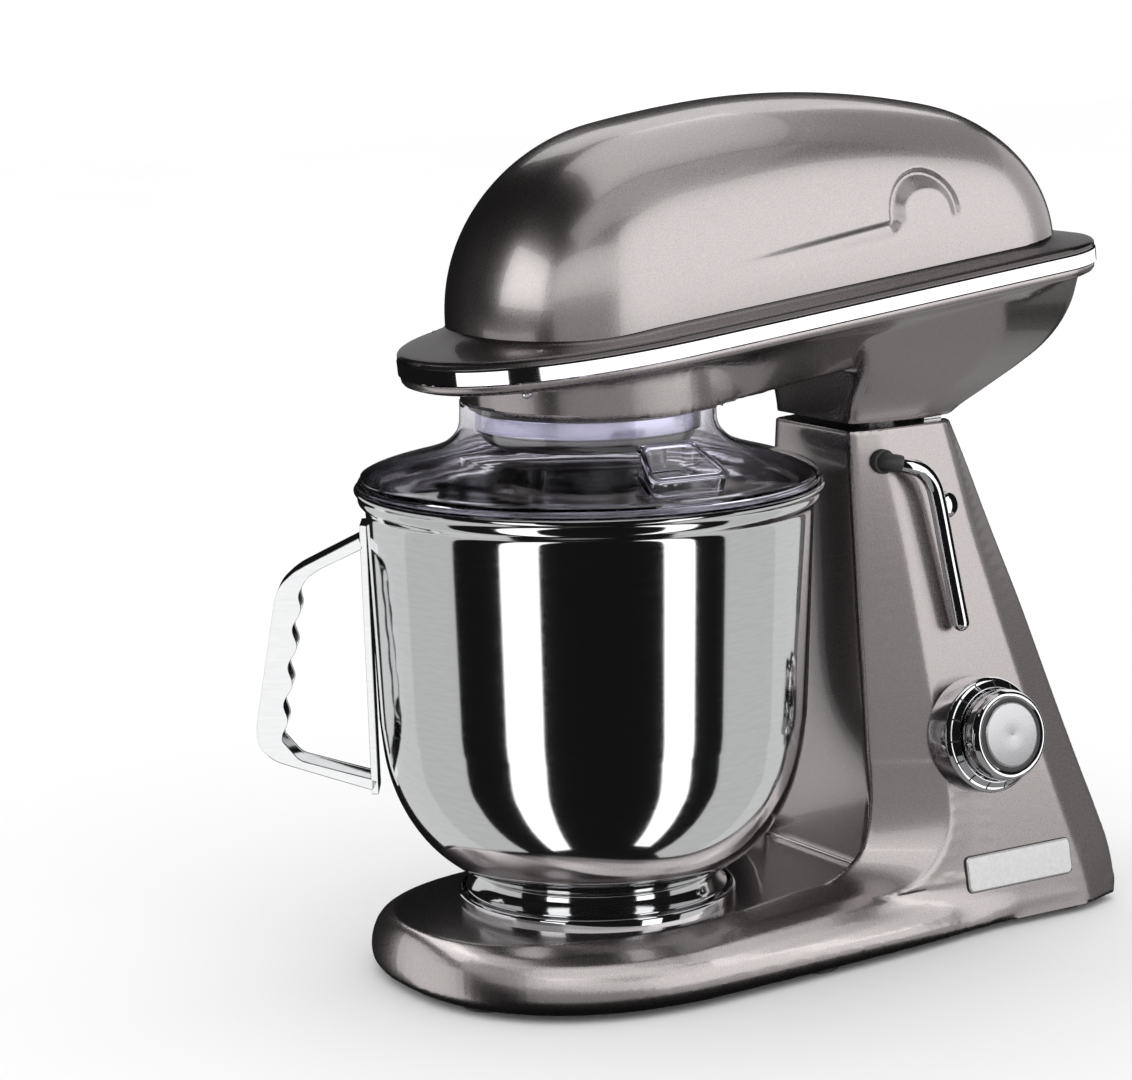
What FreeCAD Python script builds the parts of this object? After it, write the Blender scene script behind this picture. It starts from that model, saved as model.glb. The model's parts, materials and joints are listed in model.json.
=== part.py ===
import FreeCAD, Part
import math
import os

# Stand mixer with a tilting head, a 7 litre bowl and a clear splash lid. Millimetres.
# The model is drawn with the bowl's axis at x = 0, y = 0, the floor at z = 0, the column towards +Y and
# the controls on the +X side. SHIFT_Y then moves the origin to the centre of the overall footprint.
SHIFT_Y = -71.0

# Driving dimensions
RIM_R = 117.5           # rolled rim of the bowl, to the bead's centre line
RIM_Z = 247.5
BOWL_WALL = 1.2
BOWL_FLOOR_Z = 48.0
BASE_TOP_Z = 34.0
BASE_SKIRT_Z = 6.5      # underside of the bottom cover
BASE_EDGE_Z = 3.5       # lower edge of the casting, just clear of the floor
BASE_POWER = 2.3        # fullness of the rounded front, 2 being an ellipse
BASE_RX = 105.7         # half width of the base beside the bowl
BASE_RY = 116.7         # reach of the base in front of the bowl's axis
BASE_REAR_Y = 288.0
WALL = 4.0              # casting wall of the stand
COLUMN_FRONT_Y = 139.0
COLUMN_TOP_Z = 265.5
PANEL_TOP_X = 38.0      # half width of the column's flat side panel at the top
PANEL_SLOPE = 0.18      # outward spread of that panel per millimetre down
HINGE_Y = 202.2
HINGE_Z = 257.0
SHOULDER_R = 8.5        # rounded rear shoulder of the column, around the hinge
NECK_CLEAR_R = 10.2
BAND_Z = 326.0          # height of the trim band's top edge above the bowl's axis
HEAD_SLOPE = 6.0        # degrees that the head rises towards its back
HEAD_HALF_W = 78.0
HEAD_FRONT_Y = -100.5
HEAD_REAR_Y = 288.0
HEAD_WALL = 3.0
HUB_R = 57.0
PLANET_OFFSET = 40.0
TOOL_SHAFT_R = 6.0
IDLER_Y = 52.5
MOTOR_Y = 82.5
LEVER_Y = 155.0
LEVER_Z = 249.0
KNOB_Y = 195.0
KNOB_Z = 103.0
HANDLE_DIR = (-0.53, -0.848)
FIT = 0.05              # radial running clearance
SKIN = 0.4              # clearance between pieces that only pass each other


def vec(x, y, z):
    return FreeCAD.Vector(x, y, z)


def box(x0, x1, y0, y1, z0, z1):
    return Part.makeBox(x1 - x0, y1 - y0, z1 - z0, vec(x0, y0, z0))


def disc(radius, x, y, z0, z1):
    return Part.makeCylinder(radius, z1 - z0, vec(x, y, z0))


def ring(outer, inner, x, y, z0, z1):
    return disc(outer, x, y, z0, z1).cut(disc(inner, x, y, z0 - 1, z1 + 1))


def bar_x(radius, x0, x1, y, z):
    return Part.makeCylinder(radius, x1 - x0, vec(x0, y, z), vec(1, 0, 0))


def bar_y(radius, y0, y1, x, z):
    return Part.makeCylinder(radius, y1 - y0, vec(x, y0, z), vec(0, 1, 0))


def join(shapes):
    first = shapes[0]
    return first.multiFuse(shapes[1:]).removeSplitter() if len(shapes) > 1 else first


def group(shapes):
    return Part.makeCompound(shapes)


def main_piece(shape):
    """Largest solid of a cut result, without the chips that a cut can leave."""
    return max(shape.Solids, key=lambda solid: solid.Volume)


def prism(points, z0, z1):
    wire = Part.makePolygon([vec(x, y, z0) for x, y in points + points[:1]])
    return Part.Face(wire).extrude(vec(0, 0, z1 - z0))


def side_prism(points, x0, x1):
    """Extrude an outline given as (y, z) from x0 to x1."""
    wire = Part.makePolygon([vec(x0, y, z) for y, z in points + points[:1]])
    return Part.Face(wire).extrude(vec(x1 - x0, 0, 0))


def polygon_loft(sections):
    wires = [Part.makePolygon([vec(*p) for p in s + s[:1]]) for s in sections]
    return Part.makeLoft(wires, True, True)


def turned(points, curved=()):
    """Turn a closed (radius, z) outline about the bowl's axis.

    curved lists (first, last) index pairs between which one smooth curve runs through the points.
    """
    edges = []
    i = 0
    n = len(points)
    spans = dict(curved)
    while i < n:
        if i in spans:
            last = spans[i]
            run = [vec(points[k % n][0], 0, points[k % n][1]) for k in range(i, last + 1)]
            curve = Part.BSplineCurve()
            curve.interpolate(run)
            edges.append(curve.toShape())
            i = last
        else:
            a = points[i]
            b = points[(i + 1) % n]
            edges.append(Part.makeLine(vec(a[0], 0, a[1]), vec(b[0], 0, b[1])))
            i += 1
    face = Part.Face(Part.Wire(edges))
    return face.revolve(vec(0, 0, 0), vec(0, 0, 1), 360)


def mirrored(points):
    """Complete a half outline, listed from front to back on the +X side."""
    return points + [(-x, y) for x, y in reversed(points) if x > 0]


def at_height(points, z):
    return [(x, y, z) for x, y in points]


def tilt(shape):
    """Turn a shape drawn level with the trim band into the head's sloping position."""
    moved = shape.copy()
    moved.translate(vec(0, 0, BAND_Z))
    moved.rotate(vec(0, 0, BAND_Z), vec(1, 0, 0), HEAD_SLOPE)
    return moved


def superellipse(rx, ry, power, count, centre_y):
    """Front half of a rounded outline, from the tip to the widest place, on the +X side."""
    points = []
    for k in range(count + 1):
        t = math.pi / 2 * k / count
        x = rx * math.sin(t) ** (2 / power)
        y = centre_y - ry * max(0.0, math.cos(t)) ** (2 / power)
        points.append((x, y))
    return points


# ---------------------------------------------------------------- gears
def gear_outline(module, teeth, head, foot, extra, phase=0.0):
    """Involute tooth outline; extra is added to the tooth's width on the pitch circle."""
    pitch = module * teeth / 2
    pressure = math.radians(20)
    base = pitch * math.cos(pressure)
    half = math.pi / 2 / teeth + extra / 2 / pitch
    inv_pitch = math.tan(pressure) - pressure
    tip = pitch + head * module
    root = pitch - foot * module
    flank = []
    for k in range(4):
        r = max(base, root) + (tip - max(base, root)) * k / 3
        a = math.acos(min(1.0, base / r))
        flank.append((r, half + inv_pitch - (math.tan(a) - a)))
    points = []
    for n in range(teeth):
        middle = 2 * math.pi * n / teeth + phase
        tooth = [(root, -flank[0][1])]
        tooth += [(r, -a) for r, a in flank]
        tooth += [(r, a) for r, a in reversed(flank)]
        tooth.append((root, flank[0][1]))
        points += [(r * math.cos(middle + a), r * math.sin(middle + a)) for r, a in tooth]
    clean = [points[0]]
    for p in points[1:]:
        if math.dist(p, clean[-1]) > 1e-6:
            clean.append(p)
    return clean


def gear(module, teeth, bore, y, z0, z1, phase=0.0, backlash=0.16):
    body = prism(gear_outline(module, teeth, 0.8, 1.1, -backlash, phase), z0, z1)
    body = body.cut(disc(bore, 0, 0, z0 - 1, z1 + 1))
    body.translate(vec(0, y, 0))
    return body


# ---------------------------------------------------------------- stand
def base_outline(half_w, front, taper, rear_half_w, rear_y, inset=0.0):
    """Base outline at one height: rounded front, sides that draw in by taper, square back."""
    points = superellipse(half_w - inset, front - inset, BASE_POWER, 8, 2.0)
    for y in (50.0, 95.0, 139.0):
        points.append((half_w - inset - taper * (y - 2), y))
    points.append((rear_half_w - inset, rear_y - inset - 16))
    points.append((rear_half_w - inset - 14, rear_y - inset))
    return mirrored(points)


def base_block(inset, z_low, z_high):
    levels = ((z_low, BASE_RX - 2.5, BASE_RY - 2.5, 0.071, 85.5, BASE_REAR_Y - 1),
              (14.0, BASE_RX, BASE_RY, 0.071, 87.5, BASE_REAR_Y),
              (22.0, BASE_RX - 3.0, BASE_RY - 0.6, 0.16, 80.0, BASE_REAR_Y - 3),
              (z_high, 75.5, BASE_RY - 7.0, 0.27, 36.0, 262.0))
    return polygon_loft([at_height(base_outline(*level[1:], inset), level[0]) for level in levels])


def panel_x(z):
    return PANEL_TOP_X + PANEL_SLOPE * (COLUMN_TOP_Z - z)


def column_outline(z, front_x, panel_y0, panel_y1, rear_y, inset):
    wide = panel_x(z) - inset
    rear_x = panel_x(z) - 9.0 - inset
    points = [(front_x - inset, COLUMN_FRONT_Y + inset),
              (wide, panel_y0),
              (wide, panel_y1),
              (rear_x, rear_y - inset)]
    return at_height(mirrored(points), z)


def column_block(inset, z_low, z_high):
    """Column with a flat front, a strip, a side panel and a rear strip on each side."""
    levels = ((z_low, 62.0, 152.0, 259.0, 290.5),
              (BASE_TOP_Z, 57.0, 160.0, 252.0, 283.5),
              (72.0, 50.5, 173.0, 242.0, 272.0),
              (129.0, 45.5, 169.5, 228.0, 254.0),
              (208.0, 38.5, 164.0, 208.0, 229.5),
              (z_high, 33.5, 157.0, 198.0, 208.0 + (COLUMN_TOP_Z - z_high) * 0.39))
    return polygon_loft([column_outline(*level, inset) for level in levels])


FOOT_SPOTS = [(side * x, y) for x, y in ((36, -87), (79, 80), (64, 254)) for side in (-1, 1)]
BASE_SCREW_SPOTS = [(side * x, y) for x, y in ((72, -38), (84, 120), (70, 222)) for side in (-1, 1)]
EAR_X = (17.0, 25.0)


def rear_trim():
    """Material behind the column's rounded shoulder, to be cut away."""
    corner = box(-60, 60, HINGE_Y, HINGE_Y + 30, HINGE_Z, COLUMN_TOP_Z + 2)
    keep = bar_x(SHOULDER_R, -61, 61, HINGE_Y, HINGE_Z)
    lean = [(HINGE_Y + SHOULDER_R * 0.932, HINGE_Z + SHOULDER_R * 0.363), (HINGE_Y, HINGE_Z + SHOULDER_R),
            (HINGE_Y, HINGE_Z - 1), (HINGE_Y + SHOULDER_R * 0.932 + 5, HINGE_Z - 1)]
    return corner.cut(join([keep, side_prism(lean, -61, 61)]))


def stand_shell():
    outer = join([base_block(0, BASE_EDGE_Z, BASE_TOP_Z),
                  column_block(0, BASE_EDGE_Z, COLUMN_TOP_Z)])
    outer = outer.cut(rear_trim())
    inside = join([base_block(WALL, BASE_EDGE_Z - 1, BASE_TOP_Z - WALL),
                   column_block(WALL, BASE_EDGE_Z - 1, COLUMN_TOP_Z - WALL - 0.5)])
    shell = outer.cut(inside)
    bosses = [disc(5.0, x, y, 9.0, BASE_TOP_Z) for x, y in BASE_SCREW_SPOTS]
    shell = join([shell] + [b.common(outer) for b in bosses] + bracket_blocks())
    holes = [disc(1.75, x, y, 8.0, 22.0) for x, y in BASE_SCREW_SPOTS]
    for side in (-1, 1):
        x0, x1 = sorted((side * (EAR_X[0] - 0.6), side * (EAR_X[1] + 2.2)))
        holes.append(box(x0, x1, HINGE_Y - 11, HINGE_Y + 10, HINGE_Z - 10, COLUMN_TOP_Z + 4))
    holes.append(bar_x(5.0, -30, 30, HINGE_Y, HINGE_Z))
    holes += bracket_screw_shapes()
    holes.append(box(-7, 7, 167.5, 184, COLUMN_TOP_Z - 8, COLUMN_TOP_Z + 1))
    holes.append(bar_x(6.2, 28, 50, LEVER_Y, LEVER_Z))
    holes.append(knob_piece([(0, -14), (6.0, -14), (6.0, 1), (0, 1)]))
    holes.append(bar_y(7.0, BASE_REAR_Y - 20, BASE_REAR_Y + 8, 0, 24))
    return main_piece(shell.cut(join(holes)))


def base_plate():
    outline = base_outline(BASE_RX - 2.5, BASE_RY - 2.5, 0.071, 85.5, BASE_REAR_Y - 1, WALL + 0.8)
    plate = prism(outline, BASE_SKIRT_Z, 9.0)
    cuts = [disc(1.75, x, y, 5, 10) for x, y in BASE_SCREW_SPOTS]
    cuts += [disc(4.0, x, y, 5, 10) for x, y in FOOT_SPOTS]
    return plate.cut(join(cuts))


def feet():
    pieces = []
    for x, y in FOOT_SPOTS:
        cup = Part.makeCone(13.0, 11.0, BASE_SKIRT_Z, vec(x, y, 0))
        hollow = Part.makeCone(9.0, 5.0, 2.0, vec(x, y, 0))
        stem = disc(4.0, x, y, BASE_SKIRT_Z, 10.0)
        button = disc(5.5, x, y, 9.0, 10.5)
        pieces.append(join([cup, stem, button]).cut(hollow))
    return group(pieces)


def screw(x, y, z_head, z_end, shank=1.75, head=3.4):
    """Pan head screw along Z; z_head is the seat of its head, z_end the tip."""
    lift = -1.9 if z_end > z_head else 1.9
    low, high = sorted((z_head, z_head + lift))
    s0, s1 = sorted((z_head, z_end))
    return join([disc(head, x, y, low, high), disc(shank, x, y, s0, s1)])


def stand_screws():
    """Screws of the bottom cover and of the hinge bracket."""
    return group([screw(x, y, BASE_SKIRT_Z, 20.0) for x, y in BASE_SCREW_SPOTS] + bracket_screw_shapes())


# ---------------------------------------------------------------- bowl and socket
SOCKET_R = 71.7
LUG_ANGLES = (90.0, 210.0, 330.0)


def sector(outer, inner, angle, width, z0, z1):
    arc = Part.makeCylinder(outer, z1 - z0, vec(0, 0, z0), vec(0, 0, 1), width)
    arc = arc.cut(disc(inner, 0, 0, z0 - 1, z1 + 1))
    arc.rotate(vec(0, 0, 0), vec(0, 0, 1), angle - width / 2)
    return arc


def bowl_socket():
    cup = turned([(40, BASE_TOP_Z), (SOCKET_R, BASE_TOP_Z), (SOCKET_R, 39.4), (70.9, 40.2), (69.4, 40.2),
                  (69.4, 35.4), (40, 35.4)])
    lips = [sector(69.4, 66.6, a, 30, 38.6, 40.2) for a in LUG_ANGLES]
    return join([cup] + lips)


BOWL_OUTER = [(0, BOWL_FLOOR_Z), (46, BOWL_FLOOR_Z), (62, 50.5), (75, 57), (88, 69), (99, 86), (106, 106),
              (109.5, 130), (113.4, 236), (115.2, 240), (RIM_R - 0.6, 242.5), (RIM_R - 0.2, RIM_Z)]


def bowl_outer_solid():
    return turned(BOWL_OUTER + [(0, RIM_Z)], ((1, 7),))


def bowl():
    t = BOWL_WALL
    inner = [(RIM_R - t, RIM_Z), (RIM_R - 0.6 - t, 242.9), (115.2 - t, 240.6), (113.4 - t, 236),
             (109.5 - t, 130), (106 - t, 106.3), (98.1, 86.7), (87.2, 70), (74.4, 58.1), (61.7, 51.7),
             (46, BOWL_FLOOR_Z + t), (0, BOWL_FLOOR_Z + t)]
    wall = turned(BOWL_OUTER + inner, ((1, 7), (16, 22)))
    bead = Part.makeTorus(RIM_R, 1.5, vec(0, 0, RIM_Z + 0.9))
    return join([wall, bead])


def bowl_foot():
    skirt = turned([(59, 54), (62.5, 54), (62.8, 46.5), (66.6, 41.2), (66.2, 36.2), (64.8, 36.2),
                    (65.2, 40.8), (61.4, 46), (59, 47)])
    lugs = [sector(68.9, 65.6, a, 26, 36.2, 38.0) for a in LUG_ANGLES]
    return join([skirt] + lugs).cut(bowl_outer_solid())


def handle_point(r, side, z):
    ux, uy = HANDLE_DIR
    return vec(r * ux - side * uy, r * uy + side * ux, z)


def handle_prism(points, half_w):
    """Extrude an outline given as (radius, z) across the handle's width."""
    wire = Part.makePolygon([handle_point(r, -half_w, z) for r, z in points + points[:1]])
    direction = handle_point(0, 2 * half_w, 0)
    return Part.Face(wire).extrude(direction)


HANDLE_OUTER = [(104, 232), (118, 224), (137, 214.5), (149, 208.5), (157, 201), (160, 195), (172, 127),
                (171, 117), (163, 109.5), (131, 99), (104, 91)]


def handle_inner():
    """Finger side of the handle, with four shallow waves down the grip."""
    points = [(104, 103), (131, 104.5), (151, 110), (157.5, 118)]
    low, high = (158.5, 124.0), (147.5, 196.0)
    steps = 24
    for k in range(1, steps):
        t = k / steps
        wave = 1.6 * math.cos(2 * math.pi * 4 * t)
        points.append((low[0] + (high[0] - low[0]) * t + wave, low[1] + (high[1] - low[1]) * t))
    return points + [(145, 203), (136, 209), (118, 218.5), (104, 221)]


def bowl_handle():
    strap = handle_prism(HANDLE_OUTER + [(104, 96)] + handle_inner() + [(104, 228)], 11.0)
    plate = handle_prism([(104, 91), (115.5, 91), (115.5, 232), (104, 232)], 11.0)
    channel = handle_prism([(125, 216), (146, 205.3), (153, 199.5), (156, 193), (168.5, 127), (167.5, 119),
                            (161, 112.5), (131, 102.5), (131, 106), (150, 114), (140, 160), (140, 202),
                            (125, 210)], 9.2)
    return join([strap, plate]).cut(channel).cut(bowl_outer_solid())


# ---------------------------------------------------------------- lid
LID_UNDER = [(99.6, 256.2), (83.4, 260.9), (71.2, 266.2), (62.9, 276.0), (61.2, 284.4), (61.0, 292.4)]


def splash_lid():
    top = [(62.6, 292.4), (62.9, 285), (64.6, 277.0), (72.5, 268.0), (84, 263.0), (100, 258.2), (111, 255.2),
           (117, 252.6)]
    edge = [(117, 250.6), (113.8, 250.6), (113.2, 244), (111.6, 244), (111.0, 252.9)]
    body = turned(top + edge + LID_UNDER, ((0, 7), (12, 18)))
    return body.cut(chute_hole(CHUTE_WALL))


# Pour chute on the +X side of the lid. Each row: radial reach, half width, height
CHUTE_TURN = -5.0
CHUTE_WALL = 2.0
CHUTE_FOOT = ((80.5, 14.5, 250.0), (105.5, 20.5, 250.0))
CHUTE_MOUTH = ((79.6, 15.0, 279.2), (107.1, 21.6, 265.6))


def chute_ring(ends, wall=0.0, rise=0.0):
    """Corners of the chute at its foot or its mouth, drawn in by the wall and raised by rise."""
    (x0, half0, z0), (x1, half1, z1) = ends
    x0, x1 = x0 + wall, x1 - wall
    half0, half1 = half0 - wall, half1 - wall
    z0, z1 = z0 + rise, z1 + rise
    return [(x0, -half0, z0), (x1, -half1, z1), (x1, half1, z1), (x0, half0, z0)]


def chute_turned(shape):
    return shape.rotate(vec(0, 0, 0), vec(0, 0, 1), CHUTE_TURN)


def chute_hole(wall):
    shape = polygon_loft([chute_ring(CHUTE_FOOT, wall, rise) for rise in (-10.0, 50.0)])
    return chute_turned(shape)


def pour_chute():
    """Open funnel that stands on the lid."""
    outer = polygon_loft([chute_ring(CHUTE_FOOT), chute_ring(CHUTE_MOUTH)])
    inner = polygon_loft([chute_ring(CHUTE_FOOT, CHUTE_WALL, -1.0), chute_ring(CHUTE_MOUTH, CHUTE_WALL, 3.0)])
    below = turned([(0, 284)] + LID_UNDER[3::-1] + [(111, 252.9), (117, 250.6), (117, 240), (0, 240)])
    return main_piece(chute_turned(outer.cut(inner)).cut(splash_lid()).cut(below))


# ---------------------------------------------------------------- head casing
def head_outline(inset):
    """Plan of the head level with the trim band."""
    front = superellipse(HEAD_HALF_W - inset, 25.0 - HEAD_FRONT_Y - inset, 2.2, 8, 25.0)
    side = HEAD_HALF_W - inset
    corner = 38.0 - inset
    rear = HEAD_REAR_Y - inset
    points = front + [(side, 90.0), (side, 175.0)]
    for k in range(5):
        a = math.pi / 2 * k / 4
        points.append((side - corner + corner * math.cos(a), rear - corner + corner * math.sin(a)))
    return mirrored(points)


# Stations of the dome along the head: place, half width and height
DOME = ((-65, 20, 24), (-58, 36, 48), (-44, 50, 70), (-20, 61, 89), (20, 66.5, 101), (75, 67.5, 104.5),
        (140, 67.5, 98.5), (200, 67, 86), (240, 64.5, 73), (266, 55, 56), (281, 38, 32))


def dome_section(y, half_w, height, inset):
    """Arched cross-section of the head's upper casing at one station."""
    w = half_w - inset
    h = height - inset
    points = []
    count = 14
    for k in range(count + 1):
        t = math.pi * k / count
        c = math.cos(t)
        s = max(0.0, math.sin(t))
        points.append(vec(math.copysign(w * abs(c) ** (2 / 2.5), c), y, 1.0 + h * s ** (2 / 2.5)))
    curve = Part.BSplineCurve()
    curve.interpolate(points)
    return Part.Wire([curve.toShape(), Part.makeLine(points[-1], points[0])])


def dome(inset):
    wires = []
    last = len(DOME) - 1
    for i, (y, half_w, height) in enumerate(DOME):
        shift = inset if i == 0 else (-inset if i == last else 0)
        wires.append(dome_section(y + shift, half_w, height, inset))
    return Part.makeLoft(wires, True, True)


def upper_shell():
    lip = polygon_loft([at_height(head_outline(0.6), 0.0), at_height(head_outline(0.6), 2.6),
                        at_height(head_outline(7.0), 8.0)])
    hollow = polygon_loft([at_height(head_outline(5.0), -1.0), at_height(head_outline(5.0), 1.6),
                           at_height(head_outline(14.0), 4.5)])
    shell = tilt(join([dome(0), lip]).cut(join([dome(HEAD_WALL), hollow])))
    return shell.cut(join([tilt(disc(1.75, x, y, -12, 6)) for x, y in HEAD_SCREW_SPOTS]))


def trim_band():
    outer = prism(head_outline(0.0), -8.0, 0.0)
    return tilt(outer.cut(prism(head_outline(3.2), -9.0, 1.0)))


ARM_Z = -41.0


def arm_outline(inset):
    """Underside of the head in front of the neck: round at the hub, narrow towards the neck."""
    points = [(0, -66.5), (22, -63.5), (42, -52), (55, -37), (62, -22), (64.5, -6), (64, 8), (61, 24),
              (56, 38), (48, 70), (42, 110), (40, 145), (39, 165), (37, 182), (30, 192)]
    return mirrored([(max(0, x - inset) if x else 0, y + (inset if y < 0 else 0)) for x, y in points])


NECK_HALF_W = 33.5
# Levels of the neck: height, added half width, lead of its front face, rear reach
NECK = ((267.2, 0, 0, 211), (283.5, 5, 0, 243), (299, 14, 3, 264), (318, 24, 12, 277), (335, 31, 20, 281),
        (356, 34, 20, 283))


def neck_outline(inset, grow, front_y, rear_y):
    """Neck section at one level."""
    half = NECK_HALF_W + grow - inset
    return mirrored([(half, front_y + inset), (half, (front_y + rear_y) / 2),
                     (half - 2.5 - grow * 0.3, rear_y - inset)])


def lower_outer(inset):
    """Outer form of the lower casing, or its hollow when inset is set."""
    arm = polygon_loft([at_height(head_outline(1.2 + inset), -8.0),
                        at_height(head_outline(6.5 + inset), -12.5),
                        at_height(head_outline(9.0 + inset), -13.5)])
    under = polygon_loft([at_height(head_outline(9.0 + inset), -13.5),
                          at_height(arm_outline(inset), ARM_Z + inset)])
    skirt = disc(67.0 - inset, 0, 0, 289.0 + inset * 1.4, 318.0)
    floor = 267.2 + inset * 1.3
    neck = polygon_loft([at_height(neck_outline(inset, grow, COLUMN_FRONT_Y - lead, rear), max(floor, z))
                         for z, grow, lead, rear in NECK])
    clear = box(-80, 80, -130, 133, 240, 289.0 + inset * 1.4)
    return join([tilt(arm), tilt(under).cut(clear), skirt, neck])


HEAD_SCREW_SPOTS = [(side * x, y) for x, y in ((66, 30), (66, 120), (66, 210), (50, -58))
                    for side in (-1, 1)]
BOARD_POST_SPOTS = [(x, y) for x in (-30, 30) for y in (156, 219)]


def lower_shell():
    """Lower casing with its screw bosses and the posts for the control board."""
    outer = lower_outer(0)
    bosses = [tilt(disc(4.5, x, y, -10.5, -8.0)) for x, y in HEAD_SCREW_SPOTS]
    bosses += [tilt(ring(6.0, 4.0, x, y, -40.0, -10.5)).common(outer) for x, y in HEAD_SCREW_SPOTS]
    bosses += [disc(3.0, x, y, 280, 345).common(outer) for x, y in BOARD_POST_SPOTS]
    shell = join([outer.cut(lower_outer(HEAD_WALL))] + bosses)
    shell = shell.cut(join([tilt(disc(4.0, x, y, -60, -10.5)) for x, y in HEAD_SCREW_SPOTS]))
    shell = shell.cut(join([tilt(disc(1.75, x, y, -12, 0)) for x, y in HEAD_SCREW_SPOTS]))
    above = tilt(box(-120, 120, -160, 340, -8.0, 200))
    shell = shell.cut(above)
    sole = side_prism([(130, 260), (130, 269.4), (COLUMN_FRONT_Y, 269.2), (HINGE_Y, 267.2), (230, 267.2),
                       (230, 260)], -50, 50)
    relief = bar_x(NECK_CLEAR_R, -50, 50, HINGE_Y, HINGE_Z)
    cuts = [sole, relief, disc(58.5, 0, 0, 280, 300), ring(63.4, 60.6, 0, 0, 288, 293.4)]
    for side in (-1, 1):
        x0, x1 = sorted((side * (EAR_X[0] - 0.2), side * (EAR_X[1] + 0.2)))
        cuts.append(box(x0, x1, HINGE_Y - 10.5, HINGE_Y + 5.5, 262, 274))
    cuts.append(box(-4.2, 4.2, 169.8, 182.2, 262, 274))
    cuts.append(box(-27, 27, 262, 300, 303, 317))
    return main_piece(shell.cut(join(cuts)))


def rear_cover():
    """Slotted air outlet that fills the opening in the back of the head."""
    window = box(-27 + SKIN, 27 - SKIN, 262, 300, 303 + SKIN, 317 - SKIN)
    cover = window.common(lower_outer(0)).cut(lower_outer(HEAD_WALL))
    slots = [box(x - 1.2, x + 1.2, 255, 305, 305.5, 314.5) for x in range(-22, 23, 4)]
    return cover.cut(join(slots))


def head_screws():
    """Screws that clamp the head casings together from below, and those of the gear case."""
    casing = [tilt(screw(x, y, -10.5, 6.0)) for x, y in HEAD_SCREW_SPOTS]
    return group(casing + [screw(x, y, 345, 335, 2.0, 3.8) for x, y in CASE_POSTS])


# ---------------------------------------------------------------- head drive
DRIVE_TEETH = 56
IDLER_SMALL_TEETH = 14
IDLER_LARGE_TEETH = 48
MOTOR_TEETH = 12
RING_TEETH = 54
PLANET_TEETH = 14


def hub_body():
    """Turning hub: shallow bowl-shaped casting with bores for its own shaft and the tool shaft."""
    body = turned([(0, 268.5), (44, 268.5), (50, 271), (54, 277.4), (54, 288.6), (52, 290), (52, 299),
                   (0, 299)])
    pocket = ring(49, 13, 0, 0, 274, 296)
    boss = disc(12.5, 0, PLANET_OFFSET, 269, 299)
    web = box(-4, 4, -49, 49, 274, 296)
    body = join([body.cut(pocket), join([boss, web]).common(disc(50, 0, 0, 260, 300))])
    return body.cut(join([disc(8.0, 0, 0, 284, 300), disc(9.0, 0, PLANET_OFFSET, 260, 300)]))


def hub_ring():
    return turned([(54, 277.4), (56.2, 277.4), (HUB_R, 278.4), (HUB_R, 287.6), (56.2, 288.6), (54, 288.6)])


def carrier_shaft():
    return join([disc(8.0, 0, 0, 284, 352), disc(5.0, 0, 0, 352, 354)])


def drive_gear():
    body = gear(1.5, DRIVE_TEETH, 8.0, 0, 319, 329)
    holes = [disc(6.5, 26 * math.cos(a), 26 * math.sin(a), 318, 330)
             for a in (2 * math.pi * k / 5 for k in range(5))]
    return body.cut(join(holes))


def ring_gear():
    hole = prism(gear_outline(2.0, RING_TEETH, 1.1, 0.8, 0.16, math.pi / 2), 299, 313)
    return disc(61.0, 0, 0, 301.5, 311.5).cut(hole)


def planet_gear():
    return gear(2.0, PLANET_TEETH, TOOL_SHAFT_R, PLANET_OFFSET, 301.8, 311.2, math.pi / 2)


def tool_shaft():
    """Shaft of the planet gear, with the cross pin that drives the tool."""
    return join([disc(TOOL_SHAFT_R, 0, PLANET_OFFSET, 226, 312.2),
                 bar_x(2.0, -12.5, 12.5, PLANET_OFFSET, 238)])


def tool_bushes():
    return group([ring(9.0, TOOL_SHAFT_R + FIT, 0, PLANET_OFFSET, z, z + 9) for z in (269.5, 289.5)])


def beater_strut(a, b, width, thick=6.0):
    """Flat bar of the beater between two (x, z) points, rounded at its ends."""
    dx = b[0] - a[0]
    dz = b[1] - a[1]
    length = math.hypot(dx, dz)
    bar = Part.makeBox(length, thick, width, vec(0, -thick / 2, -width / 2))
    for x in (0, length):
        bar = bar.fuse(Part.makeCylinder(width / 2, thick, vec(x, -thick / 2, 0), vec(0, 1, 0)))
    bar.rotate(vec(0, 0, 0), vec(0, 1, 0), -math.degrees(math.atan2(dz, dx)))
    bar.translate(vec(a[0], 0, a[1]))
    return bar


BEATER_FRAME = ((9, 214), (58, 190), (60, 165), (54, 130), (38, 95), (14, 69.5))


def flat_beater():
    """Open paddle: an outer frame with three crossing bars under a tubular socket."""
    frame = list(BEATER_FRAME) + [(-x, z) for x, z in reversed(BEATER_FRAME)]
    struts = [beater_strut(frame[i], frame[i + 1], 6.5) for i in range(len(frame) - 1)]
    struts.append(beater_strut((-58.5, 176), (48, 116), 5.0))
    struts.append(beater_strut((-38, 204.5), (59, 150), 5.0))
    struts.append(beater_strut((-40, 98), (30, 204), 5.0))
    paddle = join(struts)
    paddle.translate(vec(0, PLANET_OFFSET, 0))
    socket = disc(10.0, 0, PLANET_OFFSET, 206, 247)
    collar = disc(13.5, 0, PLANET_OFFSET, 241, 247)
    body = join([paddle, socket, collar]).cut(disc(TOOL_SHAFT_R + FIT, 0, PLANET_OFFSET, 224, 260))
    slot = box(-14, 14, PLANET_OFFSET - 2.1, PLANET_OFFSET + 2.1, 235.9, 248)
    return body.cut(slot)


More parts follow.
